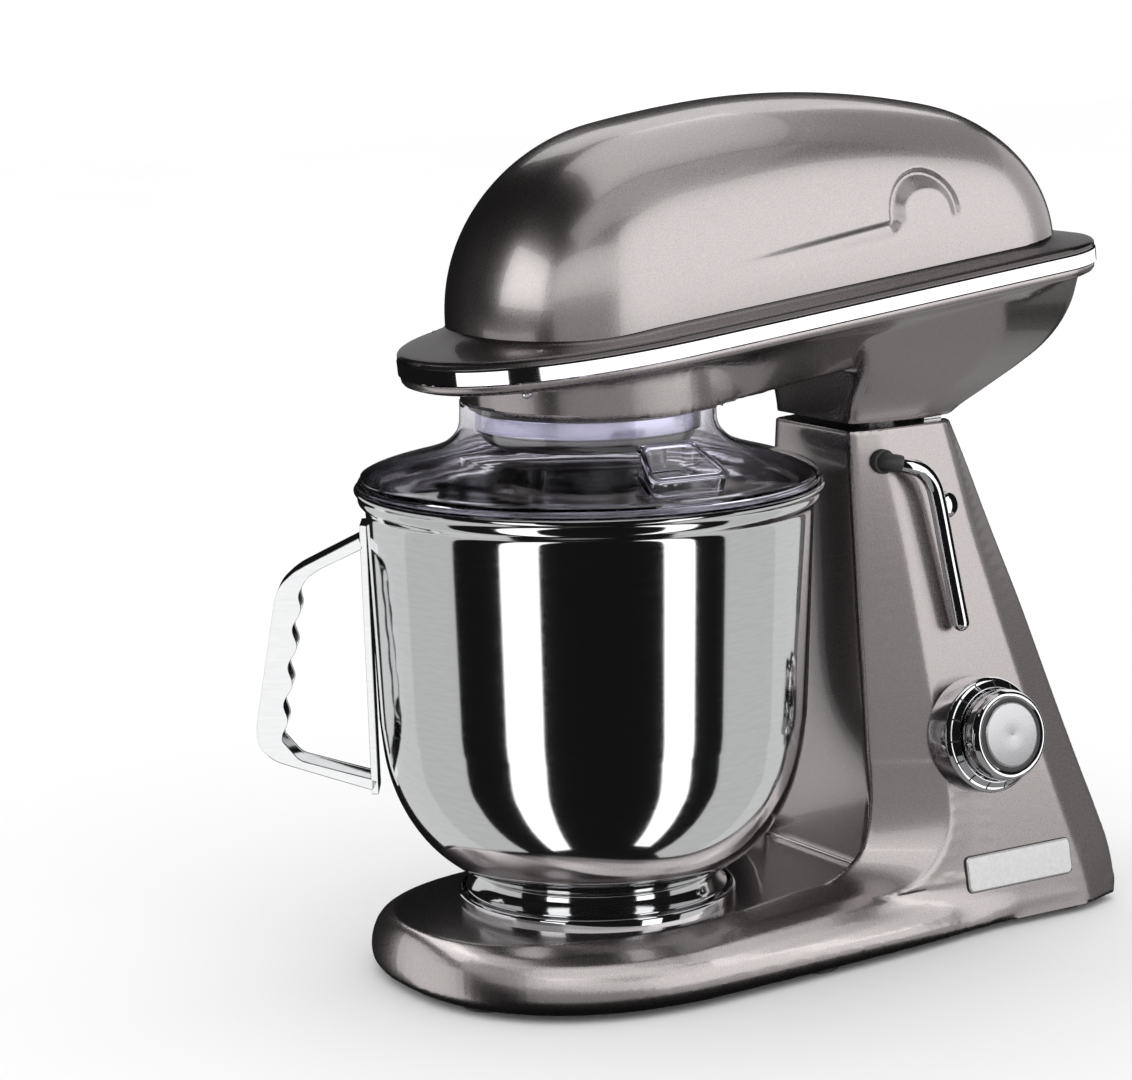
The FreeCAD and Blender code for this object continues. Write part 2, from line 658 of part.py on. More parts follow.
def gear_case_lower():
    """Cast housing around the planet stage, with a deck that carries the shafts."""
    wall = ring(63.6, 61.0, 0, 0, 296.5, 317)
    seat = ring(61.0, 57.5, 0, 0, 311.5, 317)
    plan = mirrored([(0, -57.5), (40, -41), (57.4, 0), (50, 40), (42, 70), (42, 122), (30, 128)])
    deck = prism(plan, 313.5, 317).common(tilt(box(-70, 70, -100, 200, -60, 100)))
    boss = disc(20, 0, 0, 304.5, 313.5)
    body = join([wall, seat, deck, boss])
    posts = [disc(4.5, x, y, 317, 341) for x, y in CASE_POSTS]
    body = join([body] + posts)
    cuts = [disc(16, 0, 0, 305.5, 318), disc(14, 0, 0, 304, 306), disc(7, 0, IDLER_Y, 313, 317.5)]
    cuts += [disc(2.0, x, y, 335, 342) for x, y in CASE_POSTS]
    return body.cut(join(cuts))


CASE_POSTS = ((-50, 0), (50, 0), (-36, 62), (36, 62), (-36, 116), (36, 116))


def gear_case_upper():
    plan = mirrored([(0, -24), (30, -20), (56, -6), (56, 8), (44, 40), (42, 68), (42, 122), (30, 128)])
    plate = prism(plan, 341, 345)
    boss = disc(16.5, 0, 0, 345, 352)
    cuts = [disc(13, 0, 0, 340, 353), disc(7, 0, IDLER_Y, 340, 346), disc(11, 0, MOTOR_Y, 340, 346)]
    cuts += [disc(2.0, x, y, 340, 346) for x, y in CASE_POSTS]
    return join([plate, boss]).cut(join(cuts))


def carrier_bearings():
    return group([ring(16, 8.0 + FIT, 0, 0, 305.5, 315), ring(13, 8.0 + FIT, 0, 0, 343, 351)])


def idler_bearings():
    return group([ring(7, 4.0 + FIT, 0, IDLER_Y, z, z + 3.4) for z in (313.5, 341.3)])


def idler_pinion():
    """Idler shaft with its small gear cut on it."""
    phase = -math.pi / 2 + math.pi / IDLER_SMALL_TEETH
    shaft = disc(4.0, 0, IDLER_Y, 313.5, 344.6)
    return join([gear(1.5, IDLER_SMALL_TEETH, 4.0, IDLER_Y, 318.2, 330.4, phase), shaft])


def idler_wheel():
    return gear(1.0, IDLER_LARGE_TEETH, 4.0, IDLER_Y, 330.4, 338, math.pi / 2)


def motor_shaft():
    """Motor shaft with its pinion cut on the lower end."""
    pinion = gear(1.0, MOTOR_TEETH, 2.5, MOTOR_Y, 331, 339.5, -math.pi / 2 + math.pi / MOTOR_TEETH)
    return join([pinion, disc(2.5, 0, MOTOR_Y, 330, 341), disc(4.0, 0, MOTOR_Y, 341, 424)])


def rotor_core():
    body = ring(20.0, 4.0, 0, MOTOR_Y, 368, 396)
    slots = []
    for k in range(12):
        slot = box(15.0, 20.5, MOTOR_Y - 0.8, MOTOR_Y + 0.8, 367, 397)
        slot.rotate(vec(0, MOTOR_Y, 0), vec(0, 0, 1), 30 * k)
        slots.append(slot)
    return body.cut(join(slots))


def rotor_windings():
    return group([ring(17.0, 4.0, 0, MOTOR_Y, 361, 368), ring(17.0, 4.0, 0, MOTOR_Y, 396, 402)])


def commutator():
    return ring(10.5, 4.0, 0, MOTOR_Y, 403.5, 414)


def cooling_fan():
    plate = ring(30.0, 4.0, 0, MOTOR_Y, 352, 353.5)
    blades = []
    for k in range(11):
        blade = box(9, 29, MOTOR_Y - 0.7, MOTOR_Y + 0.7, 353.5, 359.5)
        blade.rotate(vec(9, MOTOR_Y, 0), vec(0, 0, 1), 18)
        blade.rotate(vec(0, MOTOR_Y, 0), vec(0, 0, 1), 360 * k / 11)
        blades.append(blade)
    return join([plate, ring(7.0, 4.0, 0, MOTOR_Y, 353.5, 359.5)] + blades)


def stator_core():
    body = disc(36.0, 0, MOTOR_Y, 368, 396).common(box(-36, 36, MOTOR_Y - 29, MOTOR_Y + 29, 367, 397))
    bore = disc(20.6, 0, MOTOR_Y, 367, 397)
    pockets = [box(-14, 14, MOTOR_Y + s - 2.5, MOTOR_Y + s + 2.5, 367, 397) for s in (-22.5, 22.5)]
    return body.cut(join([bore] + pockets))


def field_coils():
    coils = []
    for s in (-22.5, 22.5):
        middle = box(-13.6, 13.6, MOTOR_Y + s - 2.3, MOTOR_Y + s + 2.3, 361.5, 402.5)
        coils.append(middle)
    return group(coils)


def motor_lower_bracket():
    plate = ring(33.0, 11.0, 0, MOTOR_Y, 345, 348)
    legs = [disc(3.4, x, MOTOR_Y + y, 348, 368) for x in (-33.2, 33.2) for y in (-12, 12)]
    feet_pads = [disc(4.2, x, MOTOR_Y + y, 345, 348) for x in (-33.2, 33.2) for y in (-12, 12)]
    return join([plate] + feet_pads + legs)


def motor_upper_bracket():
    bridge = box(-9, 9, MOTOR_Y - 27.5, MOTOR_Y + 27.5, 418.5, 421.5)
    hub = disc(10.5, 0, MOTOR_Y, 414.8, 421.5)
    legs = [box(-7, 7, MOTOR_Y + s - 1.5, MOTOR_Y + s + 1.5, 396, 419) for s in (-26.5, 26.5)]
    legs = [leg.common(box(-40, 40, MOTOR_Y - 28, MOTOR_Y + 28, 396, 420)) for leg in legs]
    return join([bridge, hub] + legs).cut(disc(8.0, 0, MOTOR_Y, 414, 422))


def motor_bearings():
    return group([ring(11.0, 4.0 + FIT, 0, MOTOR_Y, 341.5, 347.5),
                  ring(8.0, 4.0 + FIT, 0, MOTOR_Y, 415, 421)])


def brush_gear():
    """Carbon brushes in their holders, either side of the commutator."""
    pieces = []
    for side in (-1, 1):
        x0, x1 = sorted((side * 10.9, side * 21))
        pieces.append(box(x0, x1, MOTOR_Y - 3, MOTOR_Y + 3, 406, 412))
        h0, h1 = sorted((side * 13, side * 24))
        c0, c1 = sorted((side * 12, side * 21))
        s0, s1 = sorted((side * 18, side * 24))
        holder = join([box(h0, h1, MOTOR_Y - 5, MOTOR_Y + 5, 404.5, 413.5),
                       box(s0, s1, MOTOR_Y - 5, MOTOR_Y + 5, 396, 404.5)])
        pieces.append(holder.cut(box(c0, c1, MOTOR_Y - 3, MOTOR_Y + 3, 406, 412)))
    return group(pieces)


def control_board():
    """Speed control board with its heat sink and capacitor, behind the motor."""
    board = box(-35, 35, 150, 225, 345, 346.6)
    sink = box(-30, -14, 160, 215, 346.6, 366)
    fins = [box(-28 + 4 * k, -26.4 + 4 * k, 159, 216, 350, 367) for k in range(4)]
    capacitor = disc(9, 10, 178, 346.6, 374)
    relay = box(0, 20, 195, 215, 346.6, 362)
    return join([board, sink.cut(join(fins)), capacitor, relay])


# ---------------------------------------------------------------- hinge and latch
def head_hinge_bracket():
    """Cast bracket on the neck floor with two ears that reach down around the pin."""
    plate = box(-28, 28, 160, 206, 271.2, 275.5).cut(box(-7, 7, 168, 184, 270, 277))
    ears = []
    for side in (-1, 1):
        x0, x1 = sorted((side * EAR_X[0], side * EAR_X[1]))
        eye = bar_x(7.8, x0, x1, HINGE_Y, HINGE_Z)
        web = box(x0, x1, HINGE_Y - 7.8, HINGE_Y + 3.5, HINGE_Z, 271.2)
        ears.append(join([eye, web]).cut(bar_x(6.0, x0 - 1, x1 + 1, HINGE_Y, HINGE_Z)))
    return join([plate] + ears)


def hinge_bushes():
    pieces = []
    for side in (-1, 1):
        x0, x1 = sorted((side * EAR_X[0], side * EAR_X[1]))
        pieces.append(bar_x(6.0, x0, x1, HINGE_Y, HINGE_Z).cut(bar_x(4.0 + FIT, x0, x1, HINGE_Y, HINGE_Z)))
    return group(pieces)


def hinge_pin():
    return bar_x(4.0, -27.5, 27.5, HINGE_Y, HINGE_Z)


def pin_clips():
    pieces = []
    for side in (-1, 1):
        x0, x1 = sorted((side * 25.6, side * 26.8))
        pieces.append(bar_x(6.5, x0, x1, HINGE_Y, HINGE_Z).cut(bar_x(4.0, x0, x1, HINGE_Y, HINGE_Z)))
    return group(pieces)


def column_hinge_bracket():
    """Steel bracket inside the column whose two cheeks hold the hinge pin."""
    cheeks = []
    for side in (-1, 1):
        x0, x1 = sorted((side * 11.0, side * 16.4))
        cheek = side_prism([(HINGE_Y - 26, 226), (HINGE_Y + 5, 226), (HINGE_Y + 4, 250), (HINGE_Y + 3, 260.4),
                            (HINGE_Y - 7, 260.4), (HINGE_Y - 26, 240)], x0, x1)
        cheeks.append(cheek.cut(bar_x(4.0, x0 - 1, x1 + 1, HINGE_Y, HINGE_Z)))
    floor = box(-30, 30, HINGE_Y - 26, HINGE_Y + 5, 222, 226)
    return join(cheeks + [floor]).cut(join(bracket_screw_shapes()))


def bracket_blocks():
    """Blocks cast on the column's side walls that the hinge bracket is bolted to."""
    pieces = []
    for side in (-1, 1):
        x0, x1 = sorted((side * 20, side * 50))
        block = box(x0, x1, HINGE_Y - 24, HINGE_Y + 2, 210, 222)
        pieces.append(block.common(column_block(WALL / 2, BASE_SKIRT_Z - 1, COLUMN_TOP_Z - WALL)))
    return pieces


def bracket_screw_shapes():
    return [screw(side * 25.0, y, 226, 214, 2.0, 3.3) for side in (-1, 1)
            for y in (HINGE_Y - 20, HINGE_Y - 4)]


def latch_striker():
    """Steel eye that hangs from the neck through the top of the column."""
    plate = box(-6, 6, 168.5, 183.5, 275.5, 278)
    hook = box(-4, 4, 174, 178, 240, 278)
    return join([plate, hook]).cut(bar_y(3.6, 170, 182, 0, 245))


CRANK_Z = 238.6


def latch_bolt():
    """Sliding bolt; its nose enters the striker's eye when the lever is swung up."""
    nose = bar_y(3.0, 160, 170.0, 0, 245)
    body = box(-6, 6, 148, 165, 233, 243)
    yoke = box(-6, 6, 160, 165, 243, 248.3)
    slot = box(-7, 7, LEVER_Y - 3.4, LEVER_Y + 2.8, 236.0, 244)
    return join([nose, body, yoke]).cut(slot)


def latch_guide():
    """Channel that the bolt slides in, with the two bearing blocks of the lever's shaft."""
    parts = [box(-9, 9, 146, 178, 229, 233 - FIT)]
    for side in (-1, 1):
        x0, x1 = sorted((side * (6 + FIT), side * 9))
        parts.append(box(x0, x1, 146, 178, 229, 235.5))
        a0, a1 = sorted((side * 9, side * 29.5))
        parts.append(box(a0, a1, 148, 170, 229, 232))
    for x0, x1 in ((-21, -16), (20, 26)):
        block = box(x0, x1, LEVER_Y - 8, LEVER_Y + 8, 232, 256.5)
        parts.append(block.cut(bar_x(4.5 + FIT, x0 - 1, x1 + 1, LEVER_Y, LEVER_Z)))
    return join(parts)


def release_lever():
    """Bright bent rod outside the column, its cross shaft and the crank pin that moves the bolt."""
    points = [(-22.0, LEVER_Y, LEVER_Z), (46.5, LEVER_Y, LEVER_Z), (51.5, LEVER_Y + 8, 247.5),
              (52.2, 174, 242.5), (53.2, 179, 233), (64.0, 189, 160)]
    radius = 4.5
    pieces = []
    for a, b in zip(points, points[1:]):
        start = vec(*a)
        span = vec(*b).sub(start)
        pieces.append(Part.makeCylinder(radius, span.Length, start, span))
        pieces.append(Part.makeSphere(radius, vec(*b)))
    pieces.append(box(-14.5, -10.5, LEVER_Y - 2.5, LEVER_Y + 2.5, CRANK_Z - 2.0, LEVER_Z))
    pieces.append(bar_x(1.9, -14.5, -3.0, LEVER_Y, CRANK_Z))
    return join(pieces)


def lever_stud():
    """Small domed stud on the side panel beside the lever."""
    x = panel_x(223)
    head = Part.makeSphere(9.0, vec(x - 5.6, 193, 223)).common(box(x - 0.5, x + 10, 180, 206, 210, 236))
    body = column_block(0, BASE_SKIRT_Z, COLUMN_TOP_Z)
    return head.cut(body)


# ---------------------------------------------------------------- speed knob
def knob_piece(outline):
    """Turn a (radius, distance from panel) outline about the knob's sloping axis."""
    edges = [vec(r, 0, d) for r, d in outline]
    face = Part.Face(Part.makePolygon(edges + edges[:1]))
    body = face.revolve(vec(0, 0, 0), vec(0, 0, 1), 360)
    body.rotate(vec(0, 0, 0), vec(0, 1, 0), 90 - math.degrees(math.atan(PANEL_SLOPE)))
    body.translate(vec(panel_x(KNOB_Z), KNOB_Y, KNOB_Z))
    return body


def knob_escutcheon():
    return knob_piece([(6.2, 0.1), (30, 0.1), (30, 5.4), (28.6, 7), (25.6, 7), (25.0, 12), (24.2, 12.6),
                       (6.2, 12.6)])


def speed_knob():
    return knob_piece([(4.2, 13.2), (20.4, 13.2), (20.4, 17), (23.9, 18.5), (23.9, 29.6), (22.6, 31),
                       (19.4, 31), (19.4, 29.2), (17.2, 29.2), (17.2, 27), (4.2, 27)])


def knob_cap():
    return knob_piece([(0, 27), (17.2, 27), (17.2, 30.6), (16.4, 31.3), (0, 31.6)])


def knob_spindle():
    return knob_piece([(0, -16), (4.2, -16), (4.2, 27), (0, 27)])


def speed_switch():
    return knob_piece([(4.2 + FIT, -22), (17, -22), (17, -5.2), (4.2 + FIT, -5.2)])


def side_plate():
    """Blank rounded plate on the side of the base."""
    half_l = 35.0
    half_h = 9.4
    corner = 3.0
    y_mid, z_mid = 214.0, 31.5
    body = box(0, 1.8, -half_l + corner, half_l - corner, -half_h, half_h)
    body = join([body, box(0, 1.8, -half_l, half_l, -half_h + corner, half_h - corner)] +
                [bar_x(corner, 0, 1.8, y, z) for y in (-half_l + corner, half_l - corner)
                 for z in (-half_h + corner, half_h - corner)])
    body.rotate(vec(0, 0, 0), vec(0, 1, 0), -math.degrees(math.atan(PANEL_SLOPE)))
    body.translate(vec(panel_x(z_mid) + 0.1, y_mid, z_mid))
    return body


def cord_gland():
    """Empty inlet bush for a power cord, low on the back."""
    body = join([bar_y(10, 289.4, 294, 0, 24), bar_y(6.8, 270, 290, 0, 24)])
    return body.cut(bar_y(4.0, 260, 300, 0, 24))


STAND = (stand_shell, base_plate, feet, stand_screws, bowl_socket, column_hinge_bracket, hinge_pin,
         pin_clips, latch_guide, lever_stud, knob_escutcheon, speed_switch, side_plate, cord_gland)
BOWL = (bowl, bowl_foot, bowl_handle)
LID = (splash_lid, pour_chute)
HEAD = (upper_shell, trim_band, lower_shell, rear_cover, head_screws, gear_case_lower, gear_case_upper,
        ring_gear, carrier_bearings, idler_bearings, stator_core, field_coils, motor_lower_bracket,
        motor_upper_bracket, motor_bearings, brush_gear, control_board, head_hinge_bracket, hinge_bushes,
        latch_striker)
LEVER = (release_lever,)
LATCH = (latch_bolt,)
KNOB = (speed_knob, knob_cap, knob_spindle)
HUB = (hub_body, hub_ring, carrier_shaft, tool_bushes, drive_gear)
IDLER = (idler_pinion, idler_wheel)
ROTOR = (motor_shaft, rotor_core, rotor_windings, commutator, cooling_fan)
TOOL = (planet_gear, tool_shaft, flat_beater)
NODES = STAND + BOWL + LID + HEAD + LEVER + LATCH + KNOB + HUB + IDLER + ROTOR + TOOL


def main():
    os.makedirs("parts", exist_ok=True)
    for make in NODES:
        shape = make().copy()
        shape.translate(vec(0, SHIFT_Y, 0))
        shape.exportStep(os.path.join("parts", make.__name__ + ".step"))


main()
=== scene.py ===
import json
import math

import bmesh
import bpy
from mathutils import Matrix, Vector

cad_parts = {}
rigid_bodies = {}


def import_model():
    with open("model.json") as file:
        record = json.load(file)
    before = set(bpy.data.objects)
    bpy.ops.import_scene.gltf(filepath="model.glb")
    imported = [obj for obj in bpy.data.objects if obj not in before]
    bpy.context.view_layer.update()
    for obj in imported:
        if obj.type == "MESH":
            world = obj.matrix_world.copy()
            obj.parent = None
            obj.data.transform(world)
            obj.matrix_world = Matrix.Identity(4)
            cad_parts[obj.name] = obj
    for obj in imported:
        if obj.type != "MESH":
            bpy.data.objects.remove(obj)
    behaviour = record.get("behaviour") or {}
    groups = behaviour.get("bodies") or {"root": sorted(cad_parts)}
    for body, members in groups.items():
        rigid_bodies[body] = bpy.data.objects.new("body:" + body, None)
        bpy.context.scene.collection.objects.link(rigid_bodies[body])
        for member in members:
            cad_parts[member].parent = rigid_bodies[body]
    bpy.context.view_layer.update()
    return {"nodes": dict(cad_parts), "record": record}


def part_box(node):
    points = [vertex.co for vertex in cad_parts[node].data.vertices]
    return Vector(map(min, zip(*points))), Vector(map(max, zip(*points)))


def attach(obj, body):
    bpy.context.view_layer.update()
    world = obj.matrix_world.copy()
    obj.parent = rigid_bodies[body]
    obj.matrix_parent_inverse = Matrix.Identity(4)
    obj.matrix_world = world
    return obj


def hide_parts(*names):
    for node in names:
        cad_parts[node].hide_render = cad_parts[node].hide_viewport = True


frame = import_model()

# Lengths below are in millimetres from the bowl's axis and the floor; place() turns them into metres.
MM = 0.001


def middle(node, axis):
    low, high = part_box(node)
    return (low[axis] + high[axis]) / 2


AXIS_Y = middle("bowl_socket", 1)


def place(p):
    return Vector((p[0] * MM, p[1] * MM + AXIS_Y, p[2] * MM))


def node_top(node):
    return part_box(node)[1][2] / MM


def node_bottom(node):
    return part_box(node)[0][2] / MM


# ------------------------------------------------------------------ mesh tools
def lerp(a, b, t):
    return a + (b - a) * t


def ease(t):
    t = min(1.0, max(0.0, t))
    return t * t * (3 - 2 * t)


def ramp(value, low, high):
    return ease((value - low) / (high - low))


def curve_through(points, steps):
    """Smooth open curve through the given points of any dimension."""
    out = []
    last = len(points) - 1
    for i in range(last):
        p0 = points[max(0, i - 1)]
        p1 = points[i]
        p2 = points[i + 1]
        p3 = points[min(last, i + 2)]
        for k in range(steps):
            t = k / steps
            out.append(tuple(0.5 * (2 * b + (c - a) * t + (2 * a - 5 * b + 4 * c - d) * t * t
                                    + (3 * b - a - 3 * c + d) * t ** 3)
                             for a, b, c, d in zip(p0, p1, p2, p3)))
    out.append(tuple(points[-1]))
    return out


def rounded(points, radius, steps=4, closed=True):
    """Round the corners of a flat outline."""
    out = []
    n = len(points)
    for i in range(n):
        p = Vector(points[i])
        if not closed and i in (0, n - 1):
            out.append(tuple(p))
            continue
        before = Vector(points[i - 1]) - p
        after = Vector(points[(i + 1) % n]) - p
        reach = min(radius, before.length * 0.45, after.length * 0.45)
        a = p + before.normalized() * reach
        b = p + after.normalized() * reach
        for k in range(steps + 1):
            t = k / steps
            out.append(tuple(a * (1 - t) ** 2 + p * 2 * t * (1 - t) + b * t * t))
    return out


def skin(rings, cap_start=False, cap_end=False, wrap=False):
    """Join closed loops of equal length into one surface."""
    n = len(rings[0])
    verts = [p for ring in rings for p in ring]
    faces = []
    count = len(rings)
    for i in range(count if wrap else count - 1):
        j = (i + 1) % count
        for k in range(n):
            m = (k + 1) % n
            faces.append((i * n + k, i * n + m, j * n + m, j * n + k))
    if cap_start:
        faces.append(tuple(reversed(range(n))))
    if cap_end:
        faces.append(tuple(range((count - 1) * n, count * n)))
    return verts, faces


def oval_front(half_width, centre_y, reach, power, steps):
    """Front quarter of a full oval, from its foremost point round to its side."""
    angles = [math.pi / 2 * k / steps for k in range(steps + 1)]
    return [(half_width * math.sin(t) ** (2 / power), centre_y - reach * math.cos(t) ** (2 / power))
            for t in angles]


def half_to_loop(half):
    """Closed outline from its right half, which runs from front to back."""
    return half + [(-x, y) for x, y in reversed(half) if x > 1e-6]


def merge(*parts):
    verts = []
    faces = []
    for v, f in parts:
        faces += [tuple(i + len(verts) for i in face) for face in f]
        verts += v
    return verts, faces


def turned(profile, segments=128, closed=True):
    """Turn a (radius, height) outline about the Z axis."""
    rings = []
    for k in range(segments):
        a = 2 * math.pi * k / segments
        rings.append([(max(r, 0.001) * math.cos(a), max(r, 0.001) * math.sin(a), z) for r, z in profile])
    verts, faces = skin(rings, wrap=True)
    if not closed:
        n = len(profile)
        faces = [f for f in faces if not {f[0] % n, f[1] % n} == {0, n - 1}]
    return verts, faces


def moved(part, matrix):
    verts, faces = part
    return [tuple(matrix @ Vector(v)) for v in verts], faces


def mesh_object(name, part, mat, crease=40.0):
    verts, faces = part
    mesh = bpy.data.meshes.new(name)
    mesh.from_pydata([place(v) for v in verts], [], faces)
    bm = bmesh.new()
    bm.from_mesh(mesh)
    bmesh.ops.remove_doubles(bm, verts=bm.verts, dist=0.000005)
    bmesh.ops.recalc_face_normals(bm, faces=bm.faces)
    bm.to_mesh(mesh)
    bm.free()
    mesh.materials.append(mat)
    obj = bpy.data.objects.new(name, mesh)
    bpy.context.collection.objects.link(obj)
    shade(obj, crease)
    return obj


def shade(obj, crease):
    for polygon in obj.data.polygons:
        polygon.use_smooth = True
    obj.data.set_sharp_from_angle(angle=math.radians(crease))


def bevel(obj, width, segments=3, angle=35.0):
    modifier = obj.modifiers.new("edge", "BEVEL")
    modifier.width = width * MM
    modifier.segments = segments
    modifier.limit_method = "ANGLE"
    modifier.angle_limit = math.radians(angle)
    modifier.harden_normals = False


def baked(obj):
    """Apply an object's modifiers to its mesh."""
    graph = bpy.context.evaluated_depsgraph_get()
    mesh = bpy.data.meshes.new_from_object(obj.evaluated_get(graph))
    obj.modifiers.clear()
    obj.data = mesh


def fused(obj, voxel, passes):
    """Melt overlapping closed forms into one casting with soft fillets."""
    remesh = obj.modifiers.new("melt", "REMESH")
    remesh.mode = "VOXEL"
    remesh.voxel_size = voxel * MM
    soften = obj.modifiers.new("soften", "SMOOTH")
    soften.factor = 0.5
    soften.iterations = passes
    baked(obj)


def carve(obj, cutters):
    """Cut closed forms out of a piece."""
    tool = mesh_object(obj.name + "_cut", merge(*cutters), obj.data.materials[0])
    cut = obj.modifiers.new("carve", "BOOLEAN")
    cut.operation = "DIFFERENCE"
    cut.solver = "EXACT"
    cut.object = tool
    baked(obj)
    bpy.data.objects.remove(tool)


def block(x0, x1, y0, y1, z0, z1):
    rings = [[(x0, y0, z), (x1, y0, z), (x1, y1, z), (x0, y1, z)] for z in (z0, z1)]
    return skin(rings, True, True)


def circle(radius, segments):
    angles = [2 * math.pi * k / segments for k in range(segments)]
    return [(radius * math.cos(a), radius * math.sin(a)) for a in angles]


def peg(radius, start, direction, length, segments=32):
    """Round bar from start along a direction."""
    z = Vector(direction).normalized()
    turn = z.to_track_quat("Z", "Y").to_matrix().to_4x4()
    rings = [[(x, y, h) for x, y in circle(radius, segments)] for h in (0, length)]
    return moved(skin(rings, True, True), Matrix.Translation(start) @ turn)


def swept(path, radius, segments=24):
    """Round rod along a path, with domed ends."""
    points = [Vector(p) for p in path]
    rings = []
    side = None
    for i, p in enumerate(points):
        ahead = points[min(i + 1, len(points) - 1)] - points[max(i - 1, 0)]
        ahead.normalize()
        if side is None:
            side = ahead.orthogonal().normalized()
        side = (side - ahead * side.dot(ahead)).normalized()
        up = ahead.cross(side)
        dome = [(0.0, 1.0)]
        if i in (0, len(points) - 1):
            sign = -1 if i == 0 else 1
            dome = [(sign * math.sin(a), math.cos(a)) for a in (k * math.pi / 14 for k in range(8))]
            if i == 0:
                dome.reverse()
        for forward, size in dome:
            centre = p + ahead * forward * radius
            r = max(size, 0.001) * radius
            rings.append([tuple(centre + side * x + up * y) for x, y in circle(r, segments)])
    return skin(rings)


# ------------------------------------------------------------------ materials
def material(name, colour, metallic=0.0, rough=0.4, grain=400.0, vary=0.08, rough_vary=0.05, bump=0.0,
             stretch=(1, 1, 1), coat=0.0, clear=0.0, ior=1.5):
    """Principled surface whose colour, gloss and relief vary with fine procedural noise."""
    mat = bpy.data.materials.new(name)
    mat.use_nodes = True
    nodes = mat.node_tree.nodes
    links = mat.node_tree.links
    surface = nodes["Principled BSDF"]
    where = nodes.new("ShaderNodeTexCoord")
    scale = nodes.new("ShaderNodeMapping")
    scale.inputs["Scale"].default_value = stretch
    links.new(where.outputs["Object"], scale.inputs["Vector"])
    noise = nodes.new("ShaderNodeTexNoise")
    noise.inputs["Scale"].default_value = grain
    noise.inputs["Detail"].default_value = 4.0
    links.new(scale.outputs["Vector"], noise.inputs["Vector"])
    tone = nodes.new("ShaderNodeValToRGB")
    tone.color_ramp.elements[0].position = 0.3
    tone.color_ramp.elements[1].position = 0.7
    tone.color_ramp.elements[0].color = [c * (1 - vary) for c in colour] + [1]
    tone.color_ramp.elements[1].color = [min(1.0, c * (1 + vary)) for c in colour] + [1]
    links.new(noise.outputs["Fac"], tone.inputs["Fac"])
    links.new(tone.outputs["Color"], surface.inputs["Base Color"])
    gloss = nodes.new("ShaderNodeMapRange")
    gloss.inputs["To Min"].default_value = max(0.0, rough - rough_vary)
    gloss.inputs["To Max"].default_value = rough + rough_vary
    links.new(noise.outputs["Fac"], gloss.inputs["Value"])
    links.new(gloss.outputs["Result"], surface.inputs["Roughness"])
    if bump:
        relief = nodes.new("ShaderNodeBump")
        relief.inputs["Strength"].default_value = bump
        relief.inputs["Distance"].default_value = 0.0002
        links.new(noise.outputs["Fac"], relief.inputs["Height"])
        links.new(relief.outputs["Normal"], surface.inputs["Normal"])
    surface.inputs["Metallic"].default_value = metallic
    surface.inputs["Coat Weight"].default_value = coat
    surface.inputs["Coat Roughness"].default_value = 0.06
    surface.inputs["Transmission Weight"].default_value = clear
    surface.inputs["IOR"].default_value = ior
    return mat


PAINT = material("paint", (0.345, 0.314, 0.313), 1.0, 0.28, grain=1500, vary=0.14, rough_vary=0.04,
                 bump=0.05, coat=0.8)
CHROME = material("chrome", (0.82, 0.82, 0.84), 1.0, 0.05, grain=60, vary=0.02, rough_vary=0.02)
MIRROR_STEEL = material("polished_steel", (0.74, 0.745, 0.75), 1.0, 0.075, grain=90, vary=0.03,
                        rough_vary=0.03, stretch=(1, 1, 7))
BRUSHED = material("brushed", (0.44, 0.44, 0.45), 1.0, 0.28, grain=500, vary=0.08, rough_vary=0.07,
                   bump=0.08, stretch=(1, 1, 12))
PLATE = material("plate", (0.66, 0.66, 0.665), 1.0, 0.3, grain=500, vary=0.06, rough_vary=0.05, bump=0.05)
STEEL = material("steel", (0.45, 0.45, 0.47), 1.0, 0.32, grain=350, vary=0.1, bump=0.05, stretch=(1, 1, 6))
CLEAR = material("clear_plastic", (0.90, 0.885, 0.925), 0.0, 0.03, grain=40, vary=0.01, rough_vary=0.015,
                 clear=1.0, ior=1.46)
TINTED = material("clear_edge", (0.86, 0.845, 0.985), 0.0, 0.04, grain=40, vary=0.02, rough_vary=0.02,
                  clear=1.0, ior=1.46)
BLACK = material("black_plastic", (0.022, 0.022, 0.023), 0.0, 0.45, grain=1400, vary=0.15, bump=0.25)
RUBBER = material("rubber", (0.02, 0.02, 0.021), 0.0, 0.7, grain=900, vary=0.2, bump=0.3)
ALUMINIUM = material("aluminium", (0.62, 0.62, 0.63), 1.0, 0.26, grain=700, vary=0.08, bump=0.12)
LAMINATED = material("laminations", (0.28, 0.28, 0.3), 0.9, 0.42, grain=120, vary=0.25, bump=0.3,
                     stretch=(0.2, 0.2, 20))
COPPER = material("copper", (0.66, 0.28, 0.13), 0.9, 0.3, grain=260, vary=0.25, bump=0.35,
                  stretch=(1, 1, 9))
BRONZE = material("bronze", (0.5, 0.33, 0.15), 0.95, 0.36, grain=900, vary=0.15, bump=0.15)
BOARD = material("board", (0.03, 0.17, 0.08), 0.0, 0.35, grain=300, vary=0.3, bump=0.15)
SATIN = material("satin_trim", (0.47, 0.47, 0.58), 1.0, 0.24, grain=300, vary=0.04, rough_vary=0.04)
GUNMETAL = material("grey_cast", (0.27, 0.25, 0.245), 1.0, 0.36, grain=1300, vary=0.12, bump=0.08, coat=0.2)
INK = material("ink", (0.008, 0.008, 0.009), 0.0, 0.35, grain=900, vary=0.1, rough_vary=0.05)

